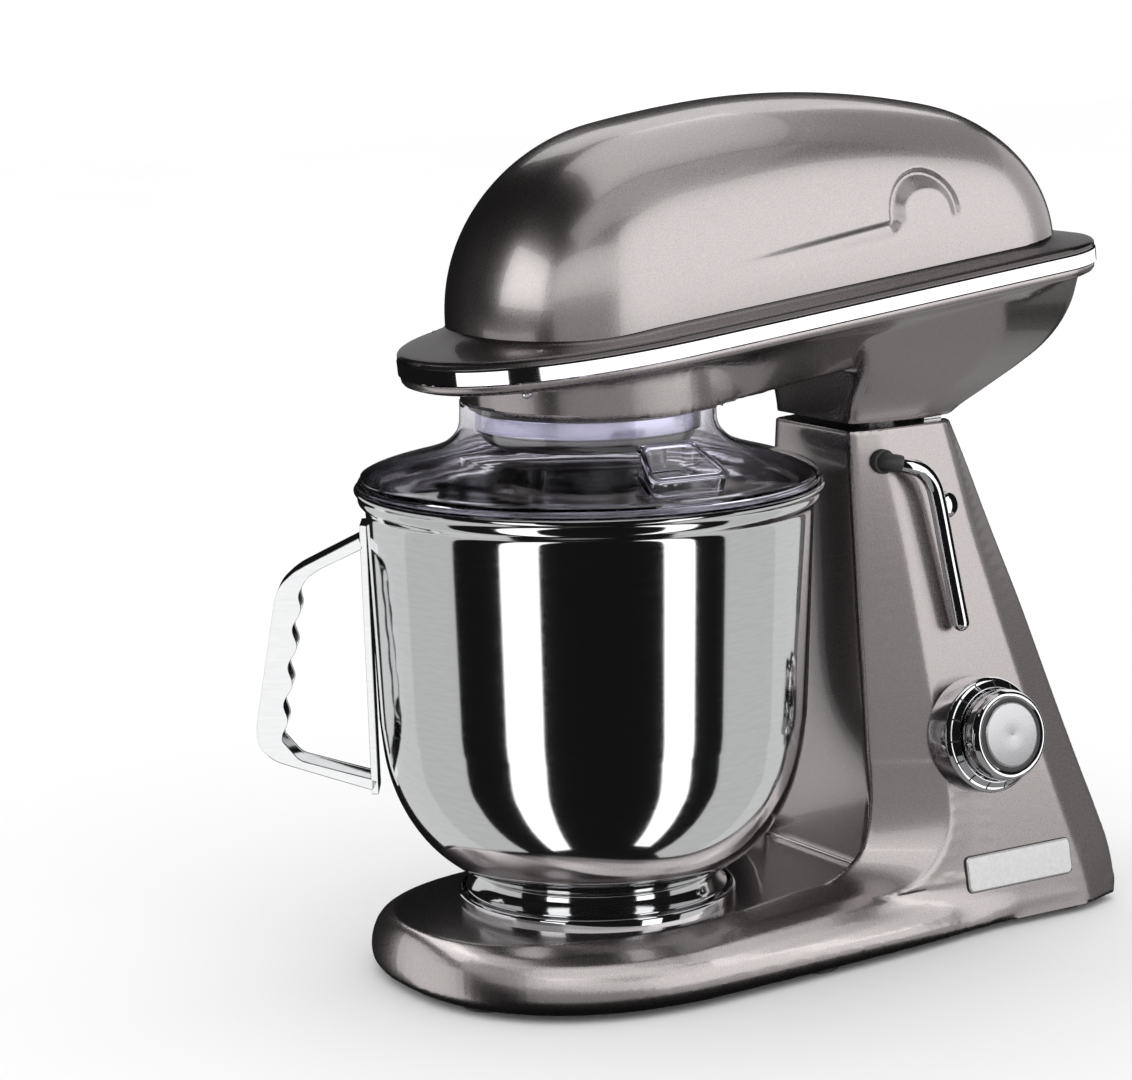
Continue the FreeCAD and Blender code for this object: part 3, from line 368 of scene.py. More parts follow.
BY_SLOT = {"paint": PAINT, "chrome": CHROME, "polished_steel": MIRROR_STEEL, "brushed": BRUSHED,
           "steel": STEEL, "clear_plastic": CLEAR, "black_plastic": BLACK, "rubber": RUBBER,
           "aluminium": ALUMINIUM, "laminations": LAMINATED, "copper": COPPER, "bronze": BRONZE,
           "board": BOARD, "grey_cast": GUNMETAL}
SLOT_OF = {entry["node"]: entry["material_slot"] for entry in frame["record"]["subparts"]}


def dress_cad():
    """Give every CAD node its procedural finish and soft machined edges."""
    for name, obj in frame["nodes"].items():
        obj.data.materials.clear()
        obj.data.materials.append(BY_SLOT[SLOT_OF[name]])
        bevel(obj, 0.35, 2)


def finish_piece(obj, body, nodes=()):
    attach(obj, body)
    if nodes:
        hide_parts(*nodes)
    return obj


# ------------------------------------------------------------------ stand
BASE_TOP = 34.0
BASE_EDGE = node_bottom("stand_shell")
BASE_POWER = 2.3
BASE_ROUND_Y = 2.0
COLUMN_FRONT = 139.0
COLUMN_TOP = node_top("stand_shell")
PANEL_TOP_X = 38.0
PANEL_SLOPE = 0.18
HINGE_Y, HINGE_Z = 202.2, 257.0
LEVER_Y, LEVER_Z = 155.0, 249.0


def panel_x(z):
    """Distance of the column's side panel from the middle, at a height."""
    return PANEL_TOP_X + PANEL_SLOPE * (COLUMN_TOP - z)


def on_panel(y, z):
    """Frame of a fitting on the right side panel, with its Z axis pointing outwards."""
    lean = Matrix.Rotation(math.pi / 2 - math.atan(PANEL_SLOPE), 4, "Y")
    return Matrix.Translation((panel_x(z), y, z)) @ lean


def base_loop(z, rx, ry, sides, rear_y):
    """Plan of the base at one level: round in front, then through the given side points to a square back."""
    half = oval_front(rx, BASE_ROUND_Y, ry, BASE_POWER, 32)
    half += curve_through([(rx, BASE_ROUND_Y)] + list(zip(sides, BASE_STATIONS)), 7)[1:]
    side = half[-1][0]
    corner = [half[-1], (side - 0.4, 256.0), (side - 9.4, rear_y), (0.0, rear_y)]
    half += rounded(corner, 5.0, 5, closed=False)[1:]
    return [(x, y, z) for x, y in half_to_loop(half)]


# Distances along the base, and for each level its front radii, half widths at those distances and rear
BASE_STATIONS = (30.0, 60.0, 100.0, 135.0, 158.0, 180.0, 215.0)
BASE_LEVELS = ((BASE_EDGE + 0.2, 102.6, 114.2, (101.0, 99.2, 96.2, 93.2, 90.6, 87.4, 83.9), 286.0),
               (7.0, 105.0, 116.6, (103.3, 101.3, 98.1, 94.9, 91.6, 87.8, 84.3), 287.6),
               (11.0, 105.7, 117.2, (103.9, 101.8, 98.4, 94.8, 90.9, 86.6, 84.3), 288.0),
               (15.0, 105.2, 117.0, (103.1, 100.8, 97.0, 92.8, 88.7, 84.9, 83.4), 287.6),
               (19.0, 103.4, 116.4, (101.0, 98.2, 93.6, 88.9, 85.4, 83.2, 82.6), 286.8),
               (23.0, 100.4, 115.6, (97.5, 94.0, 88.9, 84.9, 82.8, 82.0, 81.8), 285.8),
               (27.0, 95.6, 114.3, (92.2, 88.0, 83.4, 81.8, 81.3, 81.1, 81.0), 284.6),
               (30.4, 88.6, 112.9, (84.6, 79.4, 74.2, 78.6, 80.6, 80.5, 80.4), 283.0),
               (32.8, 80.8, 111.3, (76.6, 70.4, 63.0, 72.0, 79.8, 80.0, 79.9), 282.4),
               (BASE_TOP, 76.4, 110.2, (72.6, 65.6, 56.8, 68.0, 79.2, 79.7, 79.6), 282.0))


def base_form():
    return skin([base_loop(*level) for level in BASE_LEVELS], True, True)


def column_loop(z, front_x, y0, y1, rear_y):
    """Column section: flat front, strip, side panel, rear strip and flat back, per side."""
    wide = panel_x(z)
    corners = [(front_x, COLUMN_FRONT), (wide, y0), (wide, y1), (wide - 9.0, rear_y)]
    corners += [(-x, y) for x, y in reversed(corners)]
    return [(x, y, z) for x, y in rounded(corners, 3.0, 5)]


# Sections of the column: height, half width of the flat front, ends of the side panel, and the back
COLUMN_LEVELS = ((BASE_EDGE + 0.4, 66, 146, 260, 286.0), (20, 61, 152, 257, 286.4),
                 (34, 56.5, 162, 253, 284.2), (44, 54, 170, 250, 281.2), (56, 52, 174.0, 246.5, 277.4),
                 (72, 50.5, 174, 242, 272.0), (100, 47.8, 172, 234.5, 263.0),
                 (129, 45.5, 169.5, 227.5, 254.0), (166, 42.0, 167, 218.0, 242.5),
                 (208, 38.5, 164, 208.0, 228.0), (240, 35.6, 160, 202.5, 217.5),
                 (COLUMN_TOP, 33.5, 157, 198.0, 208.2))


def column_form():
    return skin([column_loop(*row) for row in curve_through(COLUMN_LEVELS, 6)], True, True)


# Sweep of the column's front corner and side crease out into the base: height, then each corner's place
COLUMN_SWEEP = ((29.5, 64, 76, 81.6, 132), (31.5, 60, 90, 81.0, 141), (34.5, 56.0, 105, 80.2, 149),
                (39, 54.0, 118, 79.3, 157), (45, 53.0, 127.5, 78.2, 164), (53, 52.0, 133.5, 76.8, 169.5),
                (64, 51.0, 137.0, 74.8, 173), (78, 50.0, 138.6, 72.3, 173.6), (92, 48.8, 139.0, 69.7, 172.6))


def sweep_form():
    rings = []
    for z, x0, y0, x1, y1 in curve_through(COLUMN_SWEEP, 4):
        corners = [(x0 - 12, 142), (x0, y0), (x1, y1), (x1 - 1, 200), (x0 - 12, 200)]
        rings.append([(x, y, z) for x, y in rounded(corners, 2.5, 4)])
    one = skin(rings, True, True)
    other = ([(-x, y, z) for x, y, z in one[0]], [tuple(reversed(face)) for face in one[1]])
    return merge(one, other)


def stand():
    obj = mesh_object("stand_casting", merge(base_form(), column_form(), sweep_form()), PAINT)
    fused(obj, 1.35, 2)
    ears = []
    for side in (-1, 1):
        x0, x1 = sorted((side * 16.6, side * 26.5))
        ears.append(block(x0, x1, 191.5, 215, 247, 280))
    carve(obj, ears + [block(-6.6, 6.6, 168, 183.6, 236, 280),
                       peg(6.0, (30, LEVER_Y, LEVER_Z), (1, 0, 0), 20)])
    shade(obj, 30)
    return finish_piece(obj, "stand", ["stand_shell"])


def socket():
    r = 71.7
    profile = rounded([(60, BASE_TOP - 0.6), (r, BASE_TOP - 0.6), (r, 39.2), (70.6, 40.2), (69.4, 40.2),
                       (69.4, 35.4), (60, 35.4)], 0.5, 3)
    parts = [turned(profile, 160)]
    for k in range(3):
        middle_angle = math.radians(90 + 120 * k)
        rings = []
        for j in range(13):
            a = middle_angle + math.radians(lerp(-15, 15, j / 12))
            rings.append([(q * math.cos(a), q * math.sin(a), z)
                          for q, z in ((66.6, 38.7), (69.6, 38.7), (69.6, 40.1), (66.9, 40.1))])
        parts.append(skin(rings, True, True))
    return finish_piece(mesh_object("bowl_ring", merge(*parts), CHROME), "stand", ["bowl_socket"])


# ------------------------------------------------------------------ bowl
BOWL_WALL = 1.2
# Outside of the bowl: the rounded lower part, and the lip under the rolled rim
BOWL_LOWER = ((44, 48.2), (54, 48.7), (63, 50.8), (75, 56.8), (88, 68.6), (99, 85.6), (106, 105.6),
              (109.3, 130))
BOWL_LIP = ((113.2, 235), (113.6, 238.4), (115.4, 240.6), (116.9, 242.6), (117.3, 245.5))
BEAD_R = 1.5


def offset_in(points, amount):
    """Shift an open (radius, height) line towards the axis side by a wall thickness."""
    out = []
    for i, p in enumerate(points):
        a = Vector(points[max(0, i - 1)])
        b = Vector(points[min(len(points) - 1, i + 1)])
        along = (b - a).normalized()
        out.append((max(0.0, p[0] - along.y * amount), p[1] + along.x * amount))
    return out


def bowl():
    (foot_r, foot_z), (lip_r, lip_z) = BOWL_LOWER[-1], BOWL_LIP[0]
    wall = [(lerp(foot_r, lip_r, k / 12), lerp(foot_z, lip_z, k / 12)) for k in range(1, 13)]
    outer = [(0, 48.2), (22, 48.2)] + curve_through(BOWL_LOWER, 8) + wall + curve_through(BOWL_LIP, 4)[1:]
    inner = offset_in(outer, BOWL_WALL)
    bead = [(117.5 + BEAD_R * math.cos(a), 248.4 + BEAD_R * math.sin(a))
            for a in (math.radians(lerp(-70, 230, k / 16)) for k in range(17))]
    profile = outer + bead + list(reversed(inner))
    obj = mesh_object("mixing_bowl", turned(profile, 192), MIRROR_STEEL, 50)
    return finish_piece(obj, "bowl_group", ["bowl"])


def bowl_foot():
    outer = curve_through([(59.5, 50.2), (62.4, 49.6), (63.2, 46.4), (65.4, 43), (67.2, 41.2)], 5)
    outer += [(67.4, 40.4), (66.4, 39.4), (66.3, 36.3), (65.0, 36.3), (65.0, 40.2)]
    inner = [(62.0, 44.6), (60.6, 48.2)]
    lugs = []
    for k in range(3):
        a0 = math.radians(90 + 120 * k)
        rings = [[(q * math.cos(a0 + math.radians(d)), q * math.sin(a0 + math.radians(d)), z)
                  for q, z in ((65.8, 36.4), (68.8, 36.4), (68.8, 38.0), (65.8, 38.0))]
                 for d in range(-13, 14, 2)]
        lugs.append(skin(rings, True, True))
    profile = rounded(outer + inner, 0.3, 2)
    obj = mesh_object("bowl_base_ring", merge(turned(profile, 160), *lugs), MIRROR_STEEL)
    return finish_piece(obj, "bowl_group", ["bowl_foot"])


HANDLE_DIR = (-0.53, -0.848)


def handle_plate(points, s0, s1):
    ux, uy = HANDLE_DIR
    rings = [[(r * ux - s * uy, r * uy + s * ux, z) for r, z in points] for s in (s0, s1)]
    return skin(rings, True, True)


def handle_outer():
    return rounded([(116.5, 224.5), (137, 214.5), (149, 208.5), (157, 201), (160, 195), (171.8, 127),
                    (170.8, 117), (163, 109.7), (131, 99.2), (113, 93.5)], 9, 6, closed=False)


def handle_inner():
    """Finger side of the grip: four shallow waves."""
    points = [(131, 104.3), (150, 109.8)]
    for k in range(49):
        t = k / 48
        wave = 1.7 * math.cos(2 * math.pi * 4 * t) * (1 - (2 * t - 1) ** 8)
        points.append((lerp(158.5, 147.0, t) + wave, lerp(120, 198, t)))
    points += [(143.5, 204.5), (136, 209.2)]
    return [(110.5, 98.5)] + rounded(points, 3, 3, closed=False) + [(114.5, 219)]


def handle():
    outer = handle_outer()
    inner = handle_inner()
    web = outer + list(reversed(offset_in(outer, -1.7)))
    parts = [handle_plate(outer + inner, side * 9.2, side * 11.0) for side in (-1, 1)]
    parts.append(handle_plate(web, -10.9, 10.9))
    wall = [(110.2, 91.5), (113.9, 91.5), (116.2, 231), (112.6, 231)]
    parts.append(handle_plate(rounded(wall, 0.5, 2), -11.0, 11.0))
    obj = mesh_object("bowl_grip", merge(*parts), MIRROR_STEEL, 30)
    bevel(obj, 0.6, 3)
    return finish_piece(obj, "bowl_group", ["bowl_handle"])


# ------------------------------------------------------------------ lid
LID_TOP = [(62.7, 292.2), (62.9, 285), (63.4, 279.4), (66, 273.8), (73, 267.6), (84, 263.0), (96, 259.4),
           (105, 257.0), (111.5, 254.9), (114.6, 253.4)]
LID_RADIUS = 117.0


def lid_height(r):
    for (r0, z0), (r1, z1) in zip(LID_TOP, LID_TOP[1:]):
        if r0 <= r <= r1:
            return lerp(z0, z1, (r - r0) / (r1 - r0))
    return LID_TOP[-1][1]


def lid():
    top = curve_through(LID_TOP, 4)
    under = list(reversed(offset_in(top, 1.9)))
    shell = mesh_object("splash_guard", turned(top + under, 192), CLEAR, 50)
    carve(shell, [skin([chute_loop(-3.6, flat) for flat in (240, 300)], True, True)])
    shade(shell, 40)
    skirt = rounded([(111.6, 252.6), (113.7, 253.3), (113.7, 244.6), (112.9, 244.1), (111.8, 244.1)], 0.5, 3)
    inner = mesh_object("splash_guard_skirt", turned(skirt, 192), CLEAR, 50)
    finish_piece(inner, "lid")
    rim = rounded([(113.8, 253.6), (115.7, 253.1), (LID_RADIUS, 252.2), (LID_RADIUS, 250.8),
                   (113.8, 250.8)], 0.5, 3)
    edge = mesh_object("splash_guard_rim", turned(rim, 192), TINTED, 50)
    finish_piece(edge, "lid")
    return finish_piece(shell, "lid", ["splash_lid"])


CHUTE_TURN = math.radians(-5.0)
# The funnel's mouth: distance from the bowl's axis, half width and height at its outer and inner ends
CHUTE_OUTER = (107.1, 21.6, 265.6)
CHUTE_INNER = (79.6, 15.0, 279.2)


def chute_loop(grow, flat=None, sink=0.0, radius=5.0):
    """Rounded outline parallel to the mouth of the funnel, grown sideways and sunk towards the lid."""
    (x1, w1, z1), (x0, w0, z0) = CHUTE_OUTER, CHUTE_INNER
    corners = rounded([(x0 - grow, -w0 - grow), (x1 + grow, -w1 - grow), (x1 + grow, w1 + grow),
                       (x0 - grow, w0 + grow)], radius, 6)
    out = []
    for x, y in corners:
        mouth = lerp(z0, z1, (x - x0) / (x1 - x0))
        z = flat if flat else lerp(mouth, lid_height(min(LID_RADIUS, math.hypot(x, y))), sink)
        cos, sin = math.cos(CHUTE_TURN), math.sin(CHUTE_TURN)
        out.append((cos * x - sin * y, sin * x + cos * y, z))
    return out


def raised(loop, amount):
    return [(x, y, z + amount) for x, y, z in loop]


def chute():
    wall = [chute_loop(-1.7, sink=1.0), chute_loop(-0.8, sink=0.5), chute_loop(0.0),
            chute_loop(-2.0), chute_loop(-2.8, sink=0.5), chute_loop(-3.6, sink=1.0)]
    body = mesh_object("chute_funnel", skin(wall, wrap=True), CLEAR, 40)
    bead = ((0.5, -1.5), (0.9, -1.1), (0.9, -0.2), (0.4, 0.2), (-2.0, 0.2), (-2.5, -0.2), (-2.5, -1.1),
            (-2.1, -1.5))
    ring = [raised(chute_loop(grow), up) for grow, up in bead]
    lip = mesh_object("chute_lip", skin(ring, wrap=True), TINTED, 50)
    fillet = ((-1.6, 1.7), (0.6, 1.4), (1.1, 0.7), (1.1, 0.05), (-1.6, 0.05))
    step = [raised(chute_loop(grow, sink=1.0), up) for grow, up in fillet]
    foot = mesh_object("chute_flange", skin(step, wrap=True), TINTED, 50)
    finish_piece(lip, "lid")
    finish_piece(foot, "lid")
    return finish_piece(body, "lid", ["pour_chute"])


# ------------------------------------------------------------------ head
BAND_Z = 326.0
SLOPE = math.radians(6.0)
HEAD_HALF_W = 78.0
HEAD_FRONT = -100.5
HEAD_REAR = 288.0
HEAD_ROUND_Y = 25.0
HEAD_POWER = 2.2
HEAD_CORNER = 38.0
# Points along the front curve, the side and the rear corner of each half outline of the head
FRONT_STEPS, SIDE_STEPS, CORNER_STEPS = 36, 32, 12


def tilt(part):
    return moved(part, Matrix.Translation((0, 0, BAND_Z)) @ Matrix.Rotation(SLOPE, 4, "X"))


def head_loop(inset, z):
    """Plan of the head at a level, drawn level with the trim band."""
    side = HEAD_HALF_W - inset
    rear = HEAD_REAR - inset
    corner = HEAD_CORNER - inset * 0.7
    half = oval_front(side, HEAD_ROUND_Y, HEAD_ROUND_Y - HEAD_FRONT - inset, HEAD_POWER, FRONT_STEPS)
    for k in range(1, SIDE_STEPS + 1):
        half.append((side, lerp(HEAD_ROUND_Y, rear - corner, k / SIDE_STEPS)))
    for k in range(1, CORNER_STEPS + 1):
        a = math.pi / 2 * k / CORNER_STEPS
        half.append((side - corner + corner * math.cos(a), rear - corner + corner * math.sin(a)))
    half.append((0.0, rear))
    return [(x, y, z) for x, y in half_to_loop(half)]


DOME_FRONT = -66.0
DOME_REAR = 275.0
DOME_HALF_W = 67.3
DOME_HEIGHT = 102.4
DOME_CREST_Y = 78.0
# How much of the dome's length rounds off at each end, seen from above
NOSE_LENGTH, TAIL_LENGTH = 66.0, 52.0
PLAN_POWER = 2.5
SECTION_POWER = 2.45
CRESCENT_Y, CRESCENT_Z = 169.0, 35.0


def rise(distance, length, power):
    """How far a rounded end has grown, from 0 at its tip to 1."""
    t = min(1.0, max(0.0, distance / length))
    return (1 - (1 - t) ** power) ** (1 / power)


def dome_width(y):
    nose = rise(y - DOME_FRONT, NOSE_LENGTH, PLAN_POWER)
    return DOME_HALF_W * nose * rise(DOME_REAR - y, TAIL_LENGTH, PLAN_POWER)


def dome_height(y):
    fall = 0.00112 if y > DOME_CREST_Y else 0.00072
    spine = DOME_HEIGHT - fall * (y - DOME_CREST_Y) ** 2
    return spine * rise(y - DOME_FRONT, 92, 2.25) * rise(DOME_REAR - y, 64, 2.5)


def relief(y, z):
    """Depth of the pressed crescent and its tail on each side of the dome."""
    radius = math.hypot(y - CRESCENT_Y, z - CRESCENT_Z)
    inner = lerp(11.0, 16.0, ramp(y, 168, 190))
    ring = ramp(radius, inner, 20.0) * (1 - ramp(radius, 20.0, 23.4))
    ring *= ramp(z, 28, 36) * (1 - 0.5 * ramp(y, 172, 190))
    tail_z = lerp(28.5, 33.0, (y - 36) / 110)
    tail = ramp(z, tail_z - 9.0, tail_z - 0.5) * (1 - ramp(z, tail_z - 0.5, tail_z + 2.6))
    tail *= ramp(y, 40, 130) * (1 - ramp(y, 146, 151))
    return 3.2 * ring + 2.0 * tail


def dome_part():
    rings = []
    around = 340
    stations = [lerp(DOME_FRONT, DOME_REAR, (1 - math.cos(math.pi * i / 200)) / 2) for i in range(201)]
    stations += [lerp(142.3, 195.2, k / 80) for k in range(81)]
    for y in sorted(stations):
        w = max(dome_width(y), 0.01)
        h = max(dome_height(y), 0.01)
        ring = []
        for k in range(around + 1):
            t = math.pi * k / around
            c = math.cos(t)
            s = math.sin(t)
            x = math.copysign(w * abs(c) ** (2 / SECTION_POWER), c)
            z = 1.0 + h * max(0.0, s) ** (2 / SECTION_POWER)
            if abs(x) > 30:
                x -= math.copysign(relief(y, z), x)
            ring.append((x, y, z))
        rings.append(ring)
    return skin(rings)


def flange_part():
    """Brim between the trim band and the dome, sweeping up where they meet."""
    rings = [head_loop(1.0, 0.0), head_loop(0.5, 0.5), head_loop(0.5, 2.2), head_loop(1.2, 3.2)]
    inner = dome_foot()
    outer = head_loop(2.2, 3.8)
    for k in range(0, 15):
        t = k / 14
        lift = 3.8 + 3.4 * t + 3.2 * t ** 7
        rings.append([(lerp(a[0], b[0], t), lerp(a[1], b[1], t), lift) for a, b in zip(outer, inner)])
    return skin(rings)


def dome_foot():
    """Plan of the dome just inside its foot, with as many points as head_loop."""
    side = 66.0
    front = DOME_FRONT + NOSE_LENGTH
    rear = DOME_REAR - TAIL_LENGTH
    half = oval_front(side, front, 64.6, PLAN_POWER, FRONT_STEPS)
    for k in range(1, SIDE_STEPS + 1):
        half.append((side, lerp(front, rear, k / SIDE_STEPS)))
    for k in range(1, CORNER_STEPS + 1):
        a = math.pi / 2 * k / 12.7
        half.append((side * math.cos(a) ** (2 / PLAN_POWER), rear + 50.6 * math.sin(a) ** (2 / PLAN_POWER)))
    half.append((0.0, DOME_REAR - 1.4))
    return [(x, y, 0.0) for x, y in half_to_loop(half)]


def head_top():
    brim = mesh_object("head_brim", tilt(flange_part()), PAINT, 35)
    finish_piece(brim, "head")
    obj = mesh_object("head_dome", tilt(dome_part()), PAINT, 35)
    return finish_piece(obj, "head", ["upper_shell"])


def band():
    section = ((2.6, 0.1), (0.7, 0.1), (0.0, -0.7), (0.0, -4.0), (0.0, -7.3), (0.7, -8.1), (2.6, -8.1))
    rings = [head_loop(inset, z) for inset, z in section]
    obj = mesh_object("head_trim", tilt(skin(rings, wrap=True)), CHROME, 40)
    return finish_piece(obj, "head", ["trim_band"])


def arm_loop():
    """Foot of the head's underside: round about the hub, narrow towards the neck."""
    control = [(0, -66.8), (22, -63.4), (42, -52), (55.5, -37), (63, -22), (66, -6), (65.6, 8), (62.5, 22),
               (57.5, 36), (49, 66), (43, 105), (40, 145), (39, 168), (36, 190), (20, 200), (0, 202)]
    line = curve_through(control, 10)
    lengths = [0.0]
    for a, b in zip(line, line[1:]):
        lengths.append(lengths[-1] + math.dist(a, b))
    count = len([p for p in head_loop(0, 0) if p[0] >= 0]) - 1
    half = []
    j = 0
    for k in range(count + 1):
        want = lengths[-1] * k / count
        while j < len(lengths) - 2 and lengths[j + 1] < want:
            j += 1
        t = (want - lengths[j]) / (lengths[j + 1] - lengths[j])
        half.append((lerp(line[j][0], line[j + 1][0], t), lerp(line[j][1], line[j + 1][1], t)))
    half[0] = (0.0, half[0][1])
    half[-1] = (0.0, half[-1][1])
    return half_to_loop(half)


# Where the head's underside starts inside its lower lip, and the level of the face round the hub
UNDER_INSET = 7.0
UNDER_TOP = -13.4
HUB_SEAT = 289.0


def untilted_height(y, z):
    """Level above the band plane of a point at true height z."""
    return (z - BAND_Z - y * math.sin(SLOPE)) / math.cos(SLOPE)


def underside_part():
    start = head_loop(UNDER_INSET, UNDER_TOP)
    foot = arm_loop()
    rings = []
    steps = 16
    for i in range(steps + 1):
        s = i / steps
        ring = []
        for a, b in zip(start, foot):
            along = ramp(b[1], 15, 75)
            inward_front = min(1.0, s * 2.2)
            drop_front = max(0.0, (s - 0.42) / 0.58)
            inward = lerp(ease(inward_front), s ** 0.9, along)
            drop = lerp(drop_front, s ** 1.15, along)
            bottom = max(-41.0, untilted_height(b[1], HUB_SEAT))
            ring.append((lerp(a[0], b[0], inward), lerp(a[1], b[1], inward), lerp(UNDER_TOP, bottom, drop)))
        rings.append(ring)
    return skin([head_loop(UNDER_INSET, -6.0)] + rings, True, True)


def neck_part():
    rows = ((267.2, 33.5, 139, 212.5), (272, 34.2, 139, 220.5), (278, 35.6, 139, 233), (284, 38.0, 139, 244),
            (292, 43.0, 139, 256), (301, 49.0, 137, 266.5), (312, 55.5, 131, 274), (325, 61.5, 122, 278.5),
            (342, 66.5, 112, 281), (354, 68.0, 108, 282))
    rings = []
    for z, half, front, rear in curve_through(rows, 4):
        corner = [(half, front), (half, lerp(front, rear, 0.62)), (half - 7 - (z - 267) * 0.12, rear)]
        corner += [(-x, y) for x, y in reversed(corner)]
        rings.append([(x, y, z) for x, y in rounded(corner, 5.0, 5)])
    return skin(rings, True, True)


def head_under():
    under = tilt(underside_part())
    obj = mesh_object("head_underside", merge(under, neck_part()), PAINT)
    fused(obj, 1.6, 6)
    above = tilt(block(-120, 120, -160, 340, -10.0, 80))
    sole = skin([[(x, 120, 240), (x, 120, 269.6), (x, 139, 269.2), (x, HINGE_Y, 267.2), (x, 240, 267.2),
                  (x, 240, 240)] for x in (-60, 60)], True, True)
    relief_bar = peg(10.2, (-60, HINGE_Y, HINGE_Z), (1, 0, 0), 120, 64)
    carve(obj, [above])
    carve(obj, [sole, block(-120, 120, -140, 133, 240, 289.4)])
    carve(obj, [relief_bar])
    carve(obj, [peg(63.6, (0, 0, 280), (0, 0, 1), 13.5, 96)])
    carve(obj, [peg(60.5, (0, 0, 285), (0, 0, 1), 50, 96)])
    carve(obj, [block(-27, 27, 255, 300, 303, 317)])
    shade(obj, 32)
    section = ((3.0, -8.0), (1.3, -8.0), (1.0, -9.0), (1.2, -10.8), (2.2, -12.2), (4.4, -13.2), (7.6, -13.8),
               (12.0, -14.0), (12.0, -11.0))
    lip = skin([head_loop(inset, z) for inset, z in section], wrap=True)
    rim = mesh_object("head_lower_lip", tilt(lip), PAINT, 35)
    finish_piece(rim, "head")
    pin = turned([(0.001, -1.2), (1.6, -0.9), (2.5, -0.2), (2.6, 1.5), (0.001, 1.5)], 32)
    pin = mesh_object("head_pin", tilt(moved(pin, Matrix.Translation((54, -70.2, -14.0)))), CHROME, 50)
    finish_piece(pin, "head")
    collar = turned(rounded([(58.6, 289.2), (60.4, 289.2), (60.4, 294.5), (58.6, 294.5)], 0.4, 2), 128)
    ring_piece = mesh_object("hub_collar", collar, BLACK)
    finish_piece(ring_piece, "head")
    return finish_piece(obj, "head", ["lower_shell"])


# ------------------------------------------------------------------ hub and beater
TOOL_Y = 40.0


def hub():
    shoulder = [(44, 268.9), (50, 270.0), (53.1, 273.2), (53.9, 277.4)]
    profile = [(0, 268.6), (34, 268.7)] + curve_through(shoulder, 5)
    profile += [(53.9, 288.5), (52, 290), (52, 298.8), (0, 298.8)]
    obj = mesh_object("hub_cover", turned(profile, 128), GUNMETAL, 45)
    boss = turned(rounded([(6.2, 264.8), (11.5, 264.8), (13.2, 269.4), (6.2, 269.4)], 0.6, 3), 64)
    boss = moved(boss, Matrix.Translation((0, TOOL_Y, 0)))
    collar = mesh_object("hub_boss", boss, STEEL)
    finish_piece(collar, "hub")
    finish_piece(obj, "hub", ["hub_body"])
    trim = turned(rounded([(53.8, 277.5), (56.3, 277.5), (57.0, 278.6), (57.0, 287.4), (56.3, 288.5),
                           (53.8, 288.5)], 0.5, 3), 160)
    return finish_piece(mesh_object("hub_trim", trim, SATIN), "hub", ["hub_ring"])


BEATER = ((9, 214), (40, 201.5), (56, 192), (60.3, 184), (60, 165), (54.5, 131), (44, 104), (30, 83),
          (14, 70.5), (0, 66.8))
BEATER_BRACES = (((-58.5, 176), (49, 115.5)), ((-38, 203), (60, 148)), ((-41, 99), (29, 205)))


def bar(path, width, thick):
    """Flat bar with rounded edges along an (x, z) path."""
    rings = []
    section = rounded([(-width / 2, -thick / 2), (width / 2, -thick / 2), (width / 2, thick / 2),
                       (-width / 2, thick / 2)], min(width, thick) * 0.42, 4)
    for i, p in enumerate(path):
        a = path[max(0, i - 1)]
        b = path[min(len(path) - 1, i + 1)]
        along = Vector((b[0] - a[0], b[1] - a[1])).normalized()
        rings.append([(p[0] - along.y * u, TOOL_Y + v, p[1] + along.x * u) for u, v in section])
    return skin(rings, True, True)


def beater():
    half = curve_through(BEATER, 8)
    frame_path = half + [(-x, z) for x, z in reversed(half[:-1])]
    parts = [bar(frame_path, 6.0, 6.5)]
    for a, b in BEATER_BRACES:
        line = [(lerp(a[0], b[0], k / 10), lerp(a[1], b[1], k / 10)) for k in range(11)]
        parts.append(bar(line, 4.6, 5.2))
    obj = mesh_object("beater_paddle", merge(*parts), ALUMINIUM, 60)
    fused(obj, 1.0, 3)
    shade(obj, 50)
    finish_piece(obj, "tool")
    socket_profile = rounded([(6.1, 207), (9.9, 207), (9.9, 240), (13.2, 241.4), (13.4, 246.4), (6.1, 246.9)],
                             0.8, 4)
    tube = moved(turned(socket_profile, 96), Matrix.Translation((0, TOOL_Y, 0)))
    piece = mesh_object("beater_socket", tube, MIRROR_STEEL)
    carve(piece, [block(-15, 15, 37.9, 42.1, 235.9, 250)])
    shade(piece, 35)
    return finish_piece(piece, "tool", ["flat_beater"])


